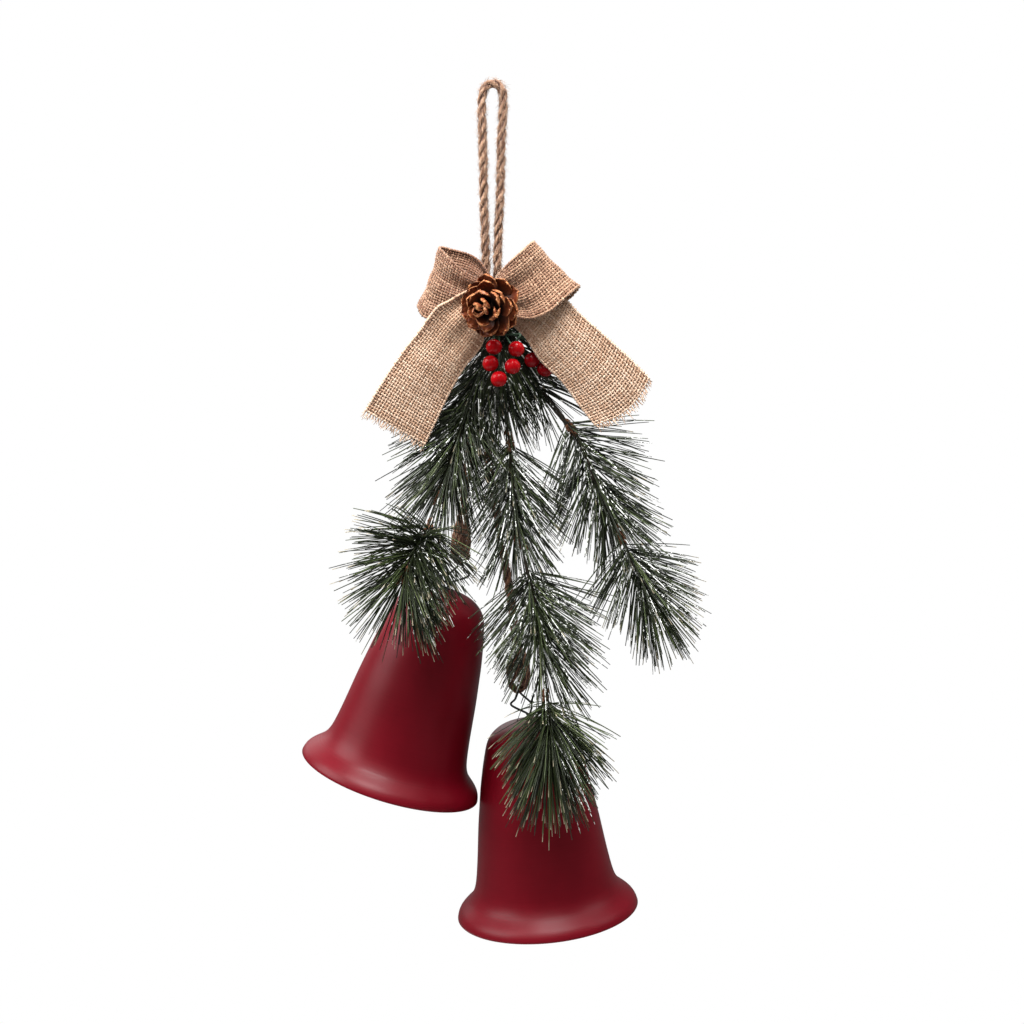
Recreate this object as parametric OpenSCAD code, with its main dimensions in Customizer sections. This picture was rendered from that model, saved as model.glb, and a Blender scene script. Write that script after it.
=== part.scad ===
// Hanging bell ornament: two flared bells on a jute cord, with frosted pine sprigs,
// a burlap bow, a pine cone and berries.  Millimetres, +Z up, +X to the right, -Y is the front.
// The origin is where a hook bears: inside the top of the hanging loop.

/* [Bells] */
// Radius of the bell mouth
bell_r = 51.7; // [46:0.1:52]
// Height of the bell from the mouth to the crown
bell_h = 111.5; // [104:0.5:114]
// Sheet thickness of the bell
bell_wall = 0.8; // [0.6:0.1:1]
// Lean of the left bell, crown to the right
left_lean = 17.2; // [12:0.1:18]
// Lean of the right bell, crown to the left
right_lean = 5.8; // [4:0.1:7]
// Radius of the hole in the crown
crown_hole_r = 2.4; // [2.3:0.05:2.8]
// Radius of the bead that the crown hangs on
bead_r = 2.8; // [2.7:0.05:3]
// Radius of the clapper ball
clapper_r = 7; // [5:0.5:7.5]
// Length of the clapper from its pivot to the middle of the ball
clapper_len = 62; // [50:1:63]

/* [Cords and wires] */
// Thickness of the jute cord
cord_d = 5; // [4:0.1:5]
// Thickness of the black wire of the hangers and clappers
wire_d = 1.2; // [0.8:0.1:1.2]
// Radius of the cord's eye over the left bell, to the middle of the cord
left_eye_r = 3.5; // [3.4:0.1:4]
// Radius of the cord's eye over the right bell, to the middle of the cord
right_eye_r = 4.5; // [4:0.1:5]

/* [Bow] */
// Width of the burlap ribbon
ribbon_w = 38; // [34:1:40]
// Thickness of the burlap ribbon
ribbon_t = 1.1; // [0.8:0.1:1.2]

/* [Trim] */
// Radius of a berry
berry_r = 4.3; // [3.8:0.1:4.3]
// Radius of the pine cone over its widest scales
cone_r = 16.5; // [14:0.5:17]
// Thickness of a sprig stem at its top
stem_d = 3.2; // [2.4:0.1:3.4]

/* [Hidden] */
$fn = 48;

// Depth of the plane that the bells, their cords and their hangers hang in
bell_y = 8;
// Depth behind which no needle reaches, so that the cords swing free
needle_back_y = 2.5;
// Depth behind which no needle reaches in front of a bell
bell_front_y = -31.5;

// Middle of each bell's mouth and of its rope eye's lowest strand
left_mouth = [-58.8, bell_y, -378.3];
right_mouth = [30.6, bell_y, -457.4];
left_eye = [-18, bell_y, -256];
right_eye = [13.5, bell_y, -329.5];

// Tape that holds the top of the bundle together
tape_mid = [-0.7, 1.5, -131];
tape_r = 8.7;
tape_h = 18;
// The bow's pinched middle
pinch = [-1, -12, -112];
// Middle of the cone, and the way its tip points
cone_mid = [-1.6, -35, -115.4];
cone_dir = [-0.45, -0.88, -0.12];

// Bell profile as radius and height over the mouth, both at the outside
bell_profile = [
    [1, 0], [0.911, 0.063], [0.807, 0.126], [0.747, 0.206], [0.685, 0.359], [0.66, 0.466],
    [0.638, 0.538], [0.596, 0.673], [0.53, 0.816], [0.46, 0.915], [0.33, 0.97], [0.16, 0.993],
    [crown_hole_r / bell_r, 1]];

// Routes, top to bottom
loop_route = [
    [-3.5, 0, -122], [-3.8, 0, -105], [-4, 0, -88], [-4.5, 0, -73], [-5, 0, -58], [-5.2, 0, -43],
    [-5.5, 0, -28], [-6, 0, -14], [-6, 0, -7], [-5.6, 0, -3], [-4.4, 0, 0], [-2.4, 0, 2],
    [0, 0, 2.5], [2.3, 0, 1.9], [4.2, 0, 0], [5.3, 0, -3], [5.5, 0, -7], [5.2, 0, -14],
    [4.4, 0, -28], [4, 0, -43], [3.6, 0, -58], [2.8, 0, -73], [2.3, 0, -88], [2.2, 0, -105],
    [2.1, 0, -122]];
left_cord_route = [
    [-3.5, 5.5, -141], [-4.6, 6, -149], [-6.6, 6.8, -158], [-8.6, 7.5, -167], [-10.4, 8, -177],
    [-12, 8, -187], [-13.4, 8, -197], [-14.8, 8, -207], [-16.2, 8, -217], [-17.4, 8, -227],
    [-18, 8, -238]];
right_cord_route = [
    [2, 5.5, -141], [1, 6, -150], [-0.6, 6.8, -160], [-2, 7.5, -171], [-3, 8, -182],
    [-3.2, 8, -194], [-2.2, 8, -206], [-0.2, 8, -219], [2.2, 8, -232], [4.4, 8, -245],
    [6.8, 8, -260], [9, 8, -275], [11, 8, -290], [12.6, 8, -303], [13.3, 8, -311]];
left_stem_route = [
    [-3, 1, -140], [-7, 0, -151], [-12.5, -4, -165], [-17, -7, -179], [-21, -9, -192],
    [-25, -12, -204], [-28, -15, -214.5], [-32, -21, -226], [-35.5, -25, -235],
    [-41.5, -31, -244], [-45.5, -34.5, -252], [-48.7, -37, -260]];
middle_stem_route = [
    [0.5, -2, -140], [3, -3, -150], [5, -3, -160], [7, -4, -173], [8.3, -6, -186],
    [9.6, -8, -203], [11.2, -10, -219.5], [12.8, -14, -239], [16, -15, -244], [17.7, -17, -253.5],
    [20.5, -18.5, -265], [22.6, -20, -276], [25.8, -25, -295], [27.6, -29, -314],
    [28.4, -33, -325], [29.4, -37, -331], [30.5, -38.5, -340]];
right_stem_route = [
    [5, 0, -140], [9, 1, -144], [19, 1, -154], [29.5, 0, -166], [39.5, -2, -178],
    [46, -4, -187], [51.5, -5, -199], [55.3, -7, -211], [61.3, -9, -222], [66.1, -11, -233],
    [70.5, -12, -242], [76, -13, -254], [82, -14, -265], [86.4, -15, -275.5]];

// Middles of the berries; the last two hang behind the bow's right tail
berry_places = [
    [0.6, -25, -136.3], [12.4, -25.5, -137.4], [-1.2, -27.5, -144.9], [10.3, -28, -146.4],
    [3.2, -29, -153], [20.9, -6.5, -143.8], [27.9, -9, -148.7]];
berry_root = [3, -8.5, -126];

// Outlines of the bow's tails, seen from the front
left_tail_outline = [
    [-3, -106], [-17, -107.6], [-30, -115], [-69, -167], [-70, -174.5], [-37.6, -188.3],
    [-5, -136], [-3, -118]];
right_tail_outline = [
    [1, -106], [20, -103], [42, -110], [82.4, -150.5], [80.8, -154], [62.8, -182.2],
    [53.7, -179], [17.6, -133.5], [6, -122], [1, -118]];

// ---------- helpers ----------

function unit(v) = v / norm(v);
function along(route, i) = unit(route[min(i + 1, len(route) - 1)] - route[max(i - 1, 0)]);

// A tube of flat-sided rings on a route's own points; side is never along the route
module tube(route, d, end_d = 0, side = [0, 1, 0], sides = 12) {
    last = len(route) - 1;
    end_r = (end_d > 0 ? end_d : d) / 2;
    rings = [
        for (i = [0:last])
            let (t = along(route, i), u = unit(cross(side, t)), v = cross(t, u))
            let (r = d / 2 + (end_r - d / 2) * i / last)
            for (k = [0:sides - 1])
                route[i] + r * (cos(360 * k / sides) * u + sin(360 * k / sides) * v)];
    walls = [
        for (i = [0:last - 1], k = [0:sides - 1])
            let (next = (k + 1) % sides)
            [i * sides + k, (i + 1) * sides + k, (i + 1) * sides + next, i * sides + next]];
    top = [for (k = [0:sides - 1]) k];
    bottom = [for (k = [sides - 1:-1:0]) last * sides + k];
    polyhedron(rings, concat([top], walls, [bottom]));
}

// Stands a child's +Z along a direction, at a place
module aim(place, direction) {
    d = unit(direction);
    translate(place) rotate([0, acos(d.z), atan2(d.y, d.x)]) children();
}

// A ring of round stock about +Z
module ring(r, d) {
    rotate_extrude() translate([r, 0]) circle(d = d);
}

// A barrel with rounded shoulders about +Z, its middle at the origin
module barrel(r, h, shoulder) {
    side = [for (a = [-90:15:90]) [r - shoulder + shoulder * cos(a),
                                   (h / 2 - shoulder) * sign(a) + shoulder * sin(a)]];
    rotate_extrude() polygon(concat([[0, -h / 2]], side, [[0, h / 2]]));
}

// A tuft's outer shape: a revolved brush about the stem from start to end,
// whose needles reach on past the end; cut flat behind back_y
module brush(start, end, r, reach, back_y) {
    length = norm(end - start);
    outline = [
        [0, -2], [0.2 * r, -2], [0.8 * r, 0.45 * r], [r, 0.9 * r], [r, max(length, r)],
        [0.75 * r, length + 0.6 * reach], [0.3 * r, length + reach], [0, length + reach]];
    intersection() {
        aim(start, end - start) rotate_extrude() polygon(outline);
        translate([-400, back_y - 200, -700]) cube([800, 200, 800]);
    }
}

// Smooth stretch between points 1 and 2 of four, at t
function bend(p, t) = 0.5 * (2 * p[1] + (p[2] - p[0]) * t
    + (2 * p[0] - 5 * p[1] + 4 * p[2] - p[3]) * t * t
    + (3 * p[1] - p[0] - 3 * p[2] + p[3]) * t * t * t);
function near(list, i) = list[max(0, min(len(list) - 1, i))];
function smooth(list, steps) = [
    for (i = [0:len(list) - 2], s = [0:steps - 1])
        bend([near(list, i - 1), list[i], list[i + 1], near(list, i + 2)], s / steps),
    list[len(list) - 1]];

// ---------- hanging loop and binding ----------

module hanging_loop() {
    color("#b08a5c") tube(loop_route, cord_d);
}

module floral_tape() {
    color("#3c4a2c") translate(tape_mid) barrel(tape_r, tape_h, 2);
}

module binding_wire() {
    turns = 5;
    color("#2c3326") for (i = [0:turns - 1])
        translate(tape_mid + [0, 0, (i - (turns - 1) / 2) * 1.6])
            ring(tape_r + 0.7, wire_d);
}

// ---------- bow ----------

// One loop of ribbon, out along +X and open along +Z, narrowing to the pinch
module ribbon_loop(reach, depth) {
    function drop(l, d) = [
        for (a = [0:10:350]) [l * (1 - cos(a)) / 2, d / 2 * sin(a) * pow(sin(a / 2), 0.8)]];
    intersection() {
        linear_extrude(ribbon_w, center = true) difference() {
            polygon(drop(reach, depth));
            translate([ribbon_t, 0]) polygon(drop(reach - 2 * ribbon_t, depth - 2.2 * ribbon_t));
        }
        rotate([90, 0, 0]) linear_extrude(2 * depth, center = true)
            polygon([[3, -7], [22, -ribbon_w], [60, -ribbon_w], [60, ribbon_w], [22, ribbon_w],
                     [3, 7]]);
    }
}

module bow_loops() {
    color("#c09a6b") {
        translate(pinch + [-1, 1, 0]) rotate([0, -160, 0]) rotate([0, 0, 3])
            ribbon_loop(37, 11);
        translate(pinch + [1, -1, 0]) rotate([0, -34, 0]) rotate([0, 0, -14])
            ribbon_loop(41, 13);
        translate(pinch) rotate([90, 0, 0]) linear_extrude(4, center = true)
            square([10, 12], center = true);
    }
}

// A flat tail of ribbon from its outline, with its front at a depth
module tail(outline, y) {
    translate([0, y, 0]) rotate([90, 0, 0]) linear_extrude(ribbon_t) polygon(outline);
}

module bow_tails() {
    color("#c09a6b") {
        tail(left_tail_outline, -18.5);
        tail(right_tail_outline, -14.4);
    }
}

module bow_tie_wire() {
    turns = 3;
    color("#7d6a4a") translate([pinch.x, -14, pinch.z]) rotate([0, 90, 0])
        for (i = [0:turns - 1]) translate([0, 0, (i - 1) * 1.1]) ring(8.4, 0.9);
}

module bow_glue_pad() {
    color("#d8cfae") translate([-0.8, -6.2, -112]) rotate([90, 0, 0]) barrel(5, 3.4, 1);
}

// ---------- pine cone ----------

module cone_core() {
    color("#5a2a17") aim(cone_mid, cone_dir) rotate_extrude()
        polygon([[0, -10], [6, -9], [8, -5], [8, 0], [6, 8], [3, 14], [0, 16]]);
}

module cone_scales() {
    rows = 6;
    scales = 8;
    color("#7a3d20") for (row = [0:rows - 1])
        let (z = -9 + row * 4.2, out = cone_r * [0.92, 1, 0.96, 0.84, 0.64, 0.42][row])
            for (k = [0:scales - 1])
                aim(cone_mid, cone_dir) rotate([0, 0, (k + row / 2) * 360 / scales])
                    translate([0, 0, z]) rotate([0, -15 - 9 * row, 0])
                        translate([0.28 * out, 0, 0]) linear_extrude(1)
                            polygon([[0, -1.4], [out * 0.5, -out * 0.22], [out * 0.68, -1.6],
                                     [out * 0.72, 0], [out * 0.68, 1.6],
                                     [out * 0.5, out * 0.22], [0, 1.4]]);
}

module cone_glue_pad() {
    color("#d8cfae") translate([0, -20.6, -114]) rotate([90, 0, 0]) barrel(5, 3.2, 1);
}

// ---------- berries ----------

module berries() {
    color("#c4121f") for (p = berry_places) translate(p) sphere(berry_r);
}

// A wire from the bundle, up into the back of each berry
module berry_stems() {
    color("#33502c") for (p = berry_places)
        let (start = berry_root + [0.12 * (p.x - 3), 0, 0], end = p + berry_r * [0, 0.64, 0.72])
            tube([start, start + [0.3 * (p.x - 3), -2, -4], end + [0, 1, 2.5], end], 1,
                 sides = 8);
}

// ---------- pine sprigs ----------

module left_stem() {
    color("#3b2a1c") tube(left_stem_route, stem_d, stem_d / 2, sides = 8);
}

module middle_stem() {
    color("#3b2a1c") tube(middle_stem_route, stem_d, stem_d / 2, sides = 8);
}

module right_stem() {
    color("#3b2a1c") tube(right_stem_route, stem_d, stem_d / 2, sides = 8);
}

module top_needles() {
    color("#2f4a33") brush([2, -5, -143], [4, -6, -158], 11, 14, needle_back_y);
}

module left_upper_needles() {
    color("#2f4a33") difference() {
        brush([-17, -8, -178], [-29, -15, -214.5], 17, 22, needle_back_y);
        translate([-120, -120, -189]) cube([120, 103, 80]);
    }
}

module left_tip_needles() {
    color("#2f4a33") brush([-38, -36, -239], [-52, -42, -263], 27, 36, bell_front_y);
}

module middle_upper_needles() {
    color("#2f4a33") brush([8.3, -7, -182], [13, -13, -226], 14, 22, needle_back_y);
}

module middle_lower_needles() {
    color("#2f4a33") brush([17.5, -17, -256], [27, -28, -304], 25, 21, needle_back_y);
}

module middle_tip_needles() {
    color("#2f4a33") brush([29, -38, -330], [31, -42, -352], 28, 42, bell_front_y);
}

module right_upper_needles() {
    color("#2f4a33") brush([42, -4, -184], [60, -9, -221], 21, 16, needle_back_y);
}

module right_tip_needles() {
    color("#2f4a33") brush([69, -12, -243], [86.4, -15, -275.5], 27, 34, needle_back_y);
}

// ---------- bell cords ----------

module left_cord() {
    color("#b08a5c") tube(left_cord_route, cord_d);
}

module right_cord() {
    color("#b08a5c") tube(right_cord_route, cord_d);
}

// The wrapped knot over a cord's eye
module cord_knot(eye, eye_r) {
    color("#a67f50") translate(eye + [0, 0, 2 * eye_r + cord_d / 2 + 4]) barrel(4.6, 10, 2.2);
}

module left_cord_knot() {
    cord_knot(left_eye, left_eye_r);
}

module right_cord_knot() {
    cord_knot(right_eye, right_eye_r);
}

// The cord's end, bent back into an eye that faces the front
module cord_eye(eye, eye_r) {
    color("#b08a5c") translate(eye + [0, 0, eye_r]) rotate([90, 0, 0]) ring(eye_r, cord_d);
}

module left_cord_eye() {
    cord_eye(left_eye, left_eye_r);
}

module right_cord_eye() {
    cord_eye(right_eye, right_eye_r);
}

// ---------- bells, each about its own mouth ----------

// Washer under the crown, and how far below it the bead's middle hangs
washer_r = 4.2;
washer_t = 0.8;
washer_z = bell_h - bell_wall - 1.3;
bead_drop = 2.15;
// Heights over the mouth: the bead, and the middle of the eye that the clapper hangs from
bead_z = washer_z - bead_drop;
wire_eye_r = 2.4;
pivot_z = bead_z - 5;

module in_left_bell() {
    translate(left_mouth) rotate([0, left_lean, 0]) children();
}

module in_right_bell() {
    translate(right_mouth) rotate([0, -right_lean, 0]) children();
}

module bell_shell() {
    outer = [for (p = smooth(bell_profile, 4)) [p.x * bell_r, p.y * bell_h]];
    last = len(outer) - 1;
    inner = [
        for (i = [last:-1:0])
            let (t = unit(outer[min(i + 1, last)] - outer[max(i - 1, 0)]))
            let (p = outer[i] - bell_wall * [t.y, -t.x])
            [i == last ? crown_hole_r : p.x, i == 0 ? 0 : p.y]];
    rotate_extrude($fn = 96) polygon(concat(outer, inner));
}

module left_bell() {
    color("#7c1426") in_left_bell() bell_shell();
}

module right_bell() {
    color("#7c1426") in_right_bell() bell_shell();
}

// A washer against the inside of the crown
module crown_washer() {
    color("#9a9a98") translate([0, 0, washer_z]) difference() {
        cylinder(r = washer_r, h = washer_t);
        translate([0, 0, -1]) cylinder(r = 2, h = 3);
    }
}

module left_crown_washer() {
    in_left_bell() crown_washer();
}

module right_crown_washer() {
    in_right_bell() crown_washer();
}

module bead() {
    color("#2a2a2a") translate([0, 0, bead_z]) sphere(bead_r);
}

module left_bead() {
    in_left_bell() bead();
}

module right_bead() {
    in_right_bell() bead();
}

// The two wires side by side through the crown, and the small eye inside the bell
module hanger_shank() {
    shank_r = 1.1;
    eye_top = pivot_z + wire_eye_r;
    translate([0, 0, eye_top]) cylinder(r = shank_r, h = bell_h - eye_top + 3);
    translate([0, 0, pivot_z]) rotate([90, 0, 0]) ring(wire_eye_r, wire_d);
}

// The open diamond of wire over the crown: up in front of the eye's lowest strand,
// over it and down behind; side is +1 when the crown lies to the right of the eye
module hanger_diamond(eye, crown, side) {
    over = cord_d / 2 + wire_d / 2 + 0.15;
    arch = [for (a = [180:-30:0]) eye + over * [0, cos(a), sin(a)]];
    front = [crown + [0, 0, 2], eye + [-3.6 * side, -2.2, -10.6], eye + [0, -over, -1.5]];
    back = [eye + [0, over, -1.5], eye + [7.6 * side, 1.6, -8.2], crown + [0.4 * side, 0, 2]];
    tube(concat(front, arch, back), wire_d, side = [1, 0, 0], sides = 8);
    tube([back[1], back[1] + [1.2 * side, 0.4, 5], back[1] + [3.4 * side, 1, 11]], wire_d,
         side = [1, 0, 0], sides = 8);
}

// Top of the shank of each hanger, at the place where the diamond's wires meet
left_crown = left_mouth + bell_h * [sin(left_lean), 0, cos(left_lean)];
right_crown = right_mouth + bell_h * [-sin(right_lean), 0, cos(right_lean)];

module left_wire_hanger() {
    color("#222222") {
        hanger_diamond(left_eye, left_crown, -1);
        in_left_bell() hanger_shank();
    }
}

module right_wire_hanger() {
    color("#222222") {
        hanger_diamond(right_eye, right_crown, 1);
        in_right_bell() hanger_shank();
    }
}

// Clappers hang straight down from the middle of the hanger's small eye
left_pivot = left_mouth + pivot_z * [sin(left_lean), 0, cos(left_lean)];
right_pivot = right_mouth + pivot_z * [-sin(right_lean), 0, cos(right_lean)];

// The clapper's wire, with the eye that links it to the hanger
module clapper_wire(pivot) {
    link_z = wire_d + 0.1 - 2 * wire_eye_r;
    rod_top = link_z - wire_eye_r;
    rod_bottom = clapper_r - clapper_len - 1;
    color("#222222") translate(pivot) {
        translate([0, 0, link_z]) rotate([0, 90, 0]) ring(wire_eye_r, wire_d);
        translate([0, 0, rod_bottom]) cylinder(d = wire_d, h = rod_top - rod_bottom);
    }
}

module left_clapper_wire() {
    clapper_wire(left_pivot);
}

module right_clapper_wire() {
    clapper_wire(right_pivot);
}

module clapper_ball(pivot) {
    color("#8f8f8c") translate(pivot - [0, 0, clapper_len]) sphere(clapper_r);
}

module left_clapper_ball() {
    clapper_ball(left_pivot);
}

module right_clapper_ball() {
    clapper_ball(right_pivot);
}

hanging_loop();
floral_tape();
binding_wire();
bow_loops();
bow_tails();
bow_tie_wire();
bow_glue_pad();
cone_core();
cone_scales();
cone_glue_pad();
berries();
berry_stems();
left_stem();
middle_stem();
right_stem();
top_needles();
left_upper_needles();
left_tip_needles();
middle_upper_needles();
middle_lower_needles();
middle_tip_needles();
right_upper_needles();
right_tip_needles();
left_cord();
left_cord_knot();
left_cord_eye();
right_cord();
right_cord_knot();
right_cord_eye();
left_wire_hanger();
right_wire_hanger();
left_bead();
right_bead();
left_crown_washer();
right_crown_washer();
left_bell();
right_bell();
left_clapper_wire();
right_clapper_wire();
left_clapper_ball();
right_clapper_ball();
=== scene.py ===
"""A hanging ornament: two flared bells on jute cords under a burlap bow, a pine cone, berries and
frosted pine sprigs.  Lengths are millimetres in the part's own frame, and MM turns them into
metres where an object is made.  +Z is up, +X is to the right and -Y is the front."""

import math

import bpy
import numpy as np
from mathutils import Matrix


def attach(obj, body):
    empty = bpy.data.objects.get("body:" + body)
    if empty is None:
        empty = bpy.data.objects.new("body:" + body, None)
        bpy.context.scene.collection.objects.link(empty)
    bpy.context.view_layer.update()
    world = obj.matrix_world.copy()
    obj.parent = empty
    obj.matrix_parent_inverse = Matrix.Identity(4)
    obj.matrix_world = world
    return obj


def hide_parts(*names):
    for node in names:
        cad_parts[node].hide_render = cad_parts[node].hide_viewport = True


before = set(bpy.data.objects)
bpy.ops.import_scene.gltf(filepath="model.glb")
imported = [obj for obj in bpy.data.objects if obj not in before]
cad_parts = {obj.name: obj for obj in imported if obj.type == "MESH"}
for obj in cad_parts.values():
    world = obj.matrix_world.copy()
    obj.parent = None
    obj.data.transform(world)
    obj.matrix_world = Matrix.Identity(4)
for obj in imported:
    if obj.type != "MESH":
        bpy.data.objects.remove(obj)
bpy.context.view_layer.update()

MM = 0.001
TURN = 2 * math.pi
GOLDEN = math.pi * (3 - math.sqrt(5))

# ---------- places that repeat the part's own routes ----------

CORD_D = 5
LOOP_ROUTE = [
    (-3.5, 0, -122), (-3.8, 0, -105), (-4, 0, -88), (-4.5, 0, -73), (-5, 0, -58), (-5.2, 0, -43),
    (-5.5, 0, -28), (-6, 0, -14), (-6, 0, -7), (-5.6, 0, -3), (-4.4, 0, 0), (-2.4, 0, 2),
    (0, 0, 2.5), (2.3, 0, 1.9), (4.2, 0, 0), (5.3, 0, -3), (5.5, 0, -7), (5.2, 0, -14),
    (4.4, 0, -28), (4, 0, -43), (3.6, 0, -58), (2.8, 0, -73), (2.3, 0, -88), (2.2, 0, -105),
    (2.1, 0, -122)]
LEFT_CORD_ROUTE = [
    (-3.5, 5.5, -141), (-4.6, 6, -149), (-6.6, 6.8, -158), (-8.6, 7.5, -167), (-10.4, 8, -177),
    (-12, 8, -187), (-13.4, 8, -197), (-14.8, 8, -207), (-16.2, 8, -217), (-17.4, 8, -227),
    (-18, 8, -238)]
RIGHT_CORD_ROUTE = [
    (2, 5.5, -141), (1, 6, -150), (-0.6, 6.8, -160), (-2, 7.5, -171), (-3, 8, -182),
    (-3.2, 8, -194), (-2.2, 8, -206), (-0.2, 8, -219), (2.2, 8, -232), (4.4, 8, -245),
    (6.8, 8, -260), (9, 8, -275), (11, 8, -290), (12.6, 8, -303), (13.3, 8, -311)]
LEFT_STEM_ROUTE = [
    (-3, 1, -140), (-7, 0, -151), (-12.5, -4, -165), (-17, -7, -179), (-21, -9, -192),
    (-25, -12, -204), (-28, -15, -214.5), (-32, -21, -226), (-35.5, -25, -235),
    (-41.5, -31, -244), (-45.5, -34.5, -252), (-48.7, -37, -260)]
MIDDLE_STEM_ROUTE = [
    (0.5, -2, -140), (3, -3, -150), (5, -3, -160), (7, -4, -173), (8.3, -6, -186),
    (9.6, -8, -203), (11.2, -10, -219.5), (12.8, -14, -239), (16, -15, -244), (17.7, -17, -253.5),
    (20.5, -18.5, -265), (22.6, -20, -276), (25.8, -25, -295), (27.6, -29, -314),
    (28.4, -33, -325), (29.4, -37, -331), (30.5, -38.5, -340)]
RIGHT_STEM_ROUTE = [
    (5, 0, -140), (9, 1, -144), (19, 1, -154), (29.5, 0, -166), (39.5, -2, -178),
    (46, -4, -187), (51.5, -5, -199), (55.3, -7, -211), (61.3, -9, -222), (66.1, -11, -233),
    (70.5, -12, -242), (76, -13, -254), (82, -14, -265), (86.4, -15, -275.5)]
BERRY_PLACES = [
    (0.6, -25, -136.3), (12.4, -25.5, -137.4), (-1.2, -27.5, -144.9), (10.3, -28, -146.4),
    (3.2, -29, -153), (20.9, -9.3, -143.8), (27.9, -9.6, -148.7)]

# Bells: radius and height, both as a share, and where each mouth is and how it leans
BELL_R = 51.7
BELL_H = 111.5
BELL_WALL = 0.8
CROWN_HOLE_R = 2.4
BELL_PROFILE = [
    (1, 0), (0.988, 0.024), (0.95, 0.047), (0.89, 0.071), (0.827, 0.1),
    (0.78, 0.142), (0.752, 0.195), (0.732, 0.25), (0.713, 0.31), (0.692, 0.385), (0.668, 0.47),
    (0.636, 0.565), (0.593, 0.685), (0.53, 0.816), (0.46, 0.915), (0.33, 0.97), (0.16, 0.993),
    (CROWN_HOLE_R / BELL_R, 1)]
BELL_Y = 8
BEAD_Z = BELL_H - BELL_WALL - 1.3 - 2.15
PIVOT_Z = BEAD_Z - 5
INNER_EYE_R = 2.4
WIRE_D = 1.2

# One bell with its cord: mouth and lean in degrees, eye for the lowest strand of the cord's eye,
# out for the side it hangs on, and the frayed husks at the knot (from, to, radius, fibres), which
# are measured from the eye
BELL_SETS = {
    "left": dict(
        route=LEFT_CORD_ROUTE, fuzz=260, seed=21, knot_seed=61, eye=(-18, BELL_Y, -256), eye_r=3.5,
        mouth=(-58.8, BELL_Y, -378.3), lean=17.2, out=-1,
        husks=[((1.2, -1, 30), (-1.5, -2.5, 0.5), 5.9, 460)]),
    "right": dict(
        route=RIGHT_CORD_ROUTE, fuzz=420, seed=31, knot_seed=71, eye=(13.5, BELL_Y, -329.5),
        eye_r=4.5, mouth=(30.6, BELL_Y, -457.4), lean=-5.8, out=1,
        husks=[((-1.5, -1, 27), (-4.0, -2, 6.5), 3.9, 240),
               ((1.5, -1, 27), (3.4, -2.5, 3.0), 4.0, 240)])}

# Planes that no needle passes: the cords hang behind the first, the bells behind the second
NEEDLE_BACK_Y = 2.5
BELL_FRONT_Y = -31.5

CONE_MID = np.array([-2.4, -35, -115.8])
CONE_DIR = np.array([-0.45, -0.88, -0.12])
CONE_R = 16.5
BERRY_R = 4.3
# The last two berries sit in shade behind the others, painted as a darker red
BERRY_SHADE = (0, 0, 0, 0, 0, 0.6, 0.6)


# ---------- small maths on arrays of points ----------

def unit(v):
    return v / np.maximum(np.linalg.norm(v, axis=-1, keepdims=True), 1e-9)


def reach(path):
    """Distance along a path of points, at each point."""
    steps = np.linalg.norm(np.diff(path, axis=0), axis=1)
    return np.concatenate([[0], np.cumsum(steps)])


def resample(path, count):
    """The same path with that many evenly spaced points."""
    at = reach(path)
    even = np.linspace(0, at[-1], count)
    return np.column_stack([np.interp(even, at, column) for column in path.T])


def smooth(points, step):
    """A smooth curve through the points, with a point about every step."""
    p = np.asarray(points, float)
    p = np.vstack([2 * p[0] - p[1], p, 2 * p[-1] - p[-2]])
    t = np.linspace(0, 1, 16, endpoint=False)[:, None]
    runs = [
        0.5 * (2 * b + (c - a) * t + (2 * a - 5 * b + 4 * c - d) * t**2
               + (3 * b - a - 3 * c + d) * t**3)
        for a, b, c, d in zip(p, p[1:], p[2:], p[3:])]
    fine = np.vstack(runs + [p[-2:-1]])
    return resample(fine, max(2, round(reach(fine)[-1] / step) + 1))


def frames(paths):
    """Tangents of (N, R, 3) paths, and two directions across them that don't twist."""
    t = unit(np.gradient(paths, axis=1))
    start = np.where(np.abs(t[:, 0, 1:2]) > 0.9, [[1.0, 0, 0]], [[0, 1.0, 0]])
    u = np.empty_like(t)
    u[:, 0] = unit(np.cross(start, t[:, 0]))
    for i in range(1, paths.shape[1]):
        across = u[:, i - 1] - (u[:, i - 1] * t[:, i]).sum(-1, keepdims=True) * t[:, i]
        u[:, i] = unit(across)
    return t, u, np.cross(t, u)


def wobble(x, seed, size):
    """A smooth random wave over x whose swings are about as long as size, from -1 to 1."""
    rng = np.random.default_rng(seed)
    x = np.asarray(x, float)
    total = np.zeros_like(x)
    for rate, share in ((0.6, 0.34), (1, 0.34), (1.7, 0.2), (2.9, 0.12)):
        total += share * np.sin(TURN * x * rate / size + rng.uniform(0, TURN))
    return total


def ease(low, high, x):
    """0 below low, 1 above high, and smooth in between."""
    t = np.clip((np.asarray(x, float) - low) / (high - low), 0, 1)
    return t * t * (3 - 2 * t)


def leaning(points, place, lean):
    """Points about +Z, leaned about +Y by degrees and put in place."""
    c, s = math.cos(math.radians(lean)), math.sin(math.radians(lean))
    x, y, z = np.moveaxis(np.asarray(points, float), -1, 0)
    return np.stack([x * c + z * s, y, z * c - x * s], -1) + place


def turned(a, b, angle):
    """Two coordinates after a turn from the first towards the second."""
    c, s = math.cos(angle), math.sin(angle)
    return a * c - b * s, a * s + b * c


def standing_on(axis):
    """Rows are the three directions of a frame whose last direction is the axis."""
    w = unit(np.asarray(axis, float))
    u = unit(np.cross([0, 0, 1.0], w))
    return np.array([u, np.cross(w, u), w])


# ---------- meshes ----------

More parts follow.
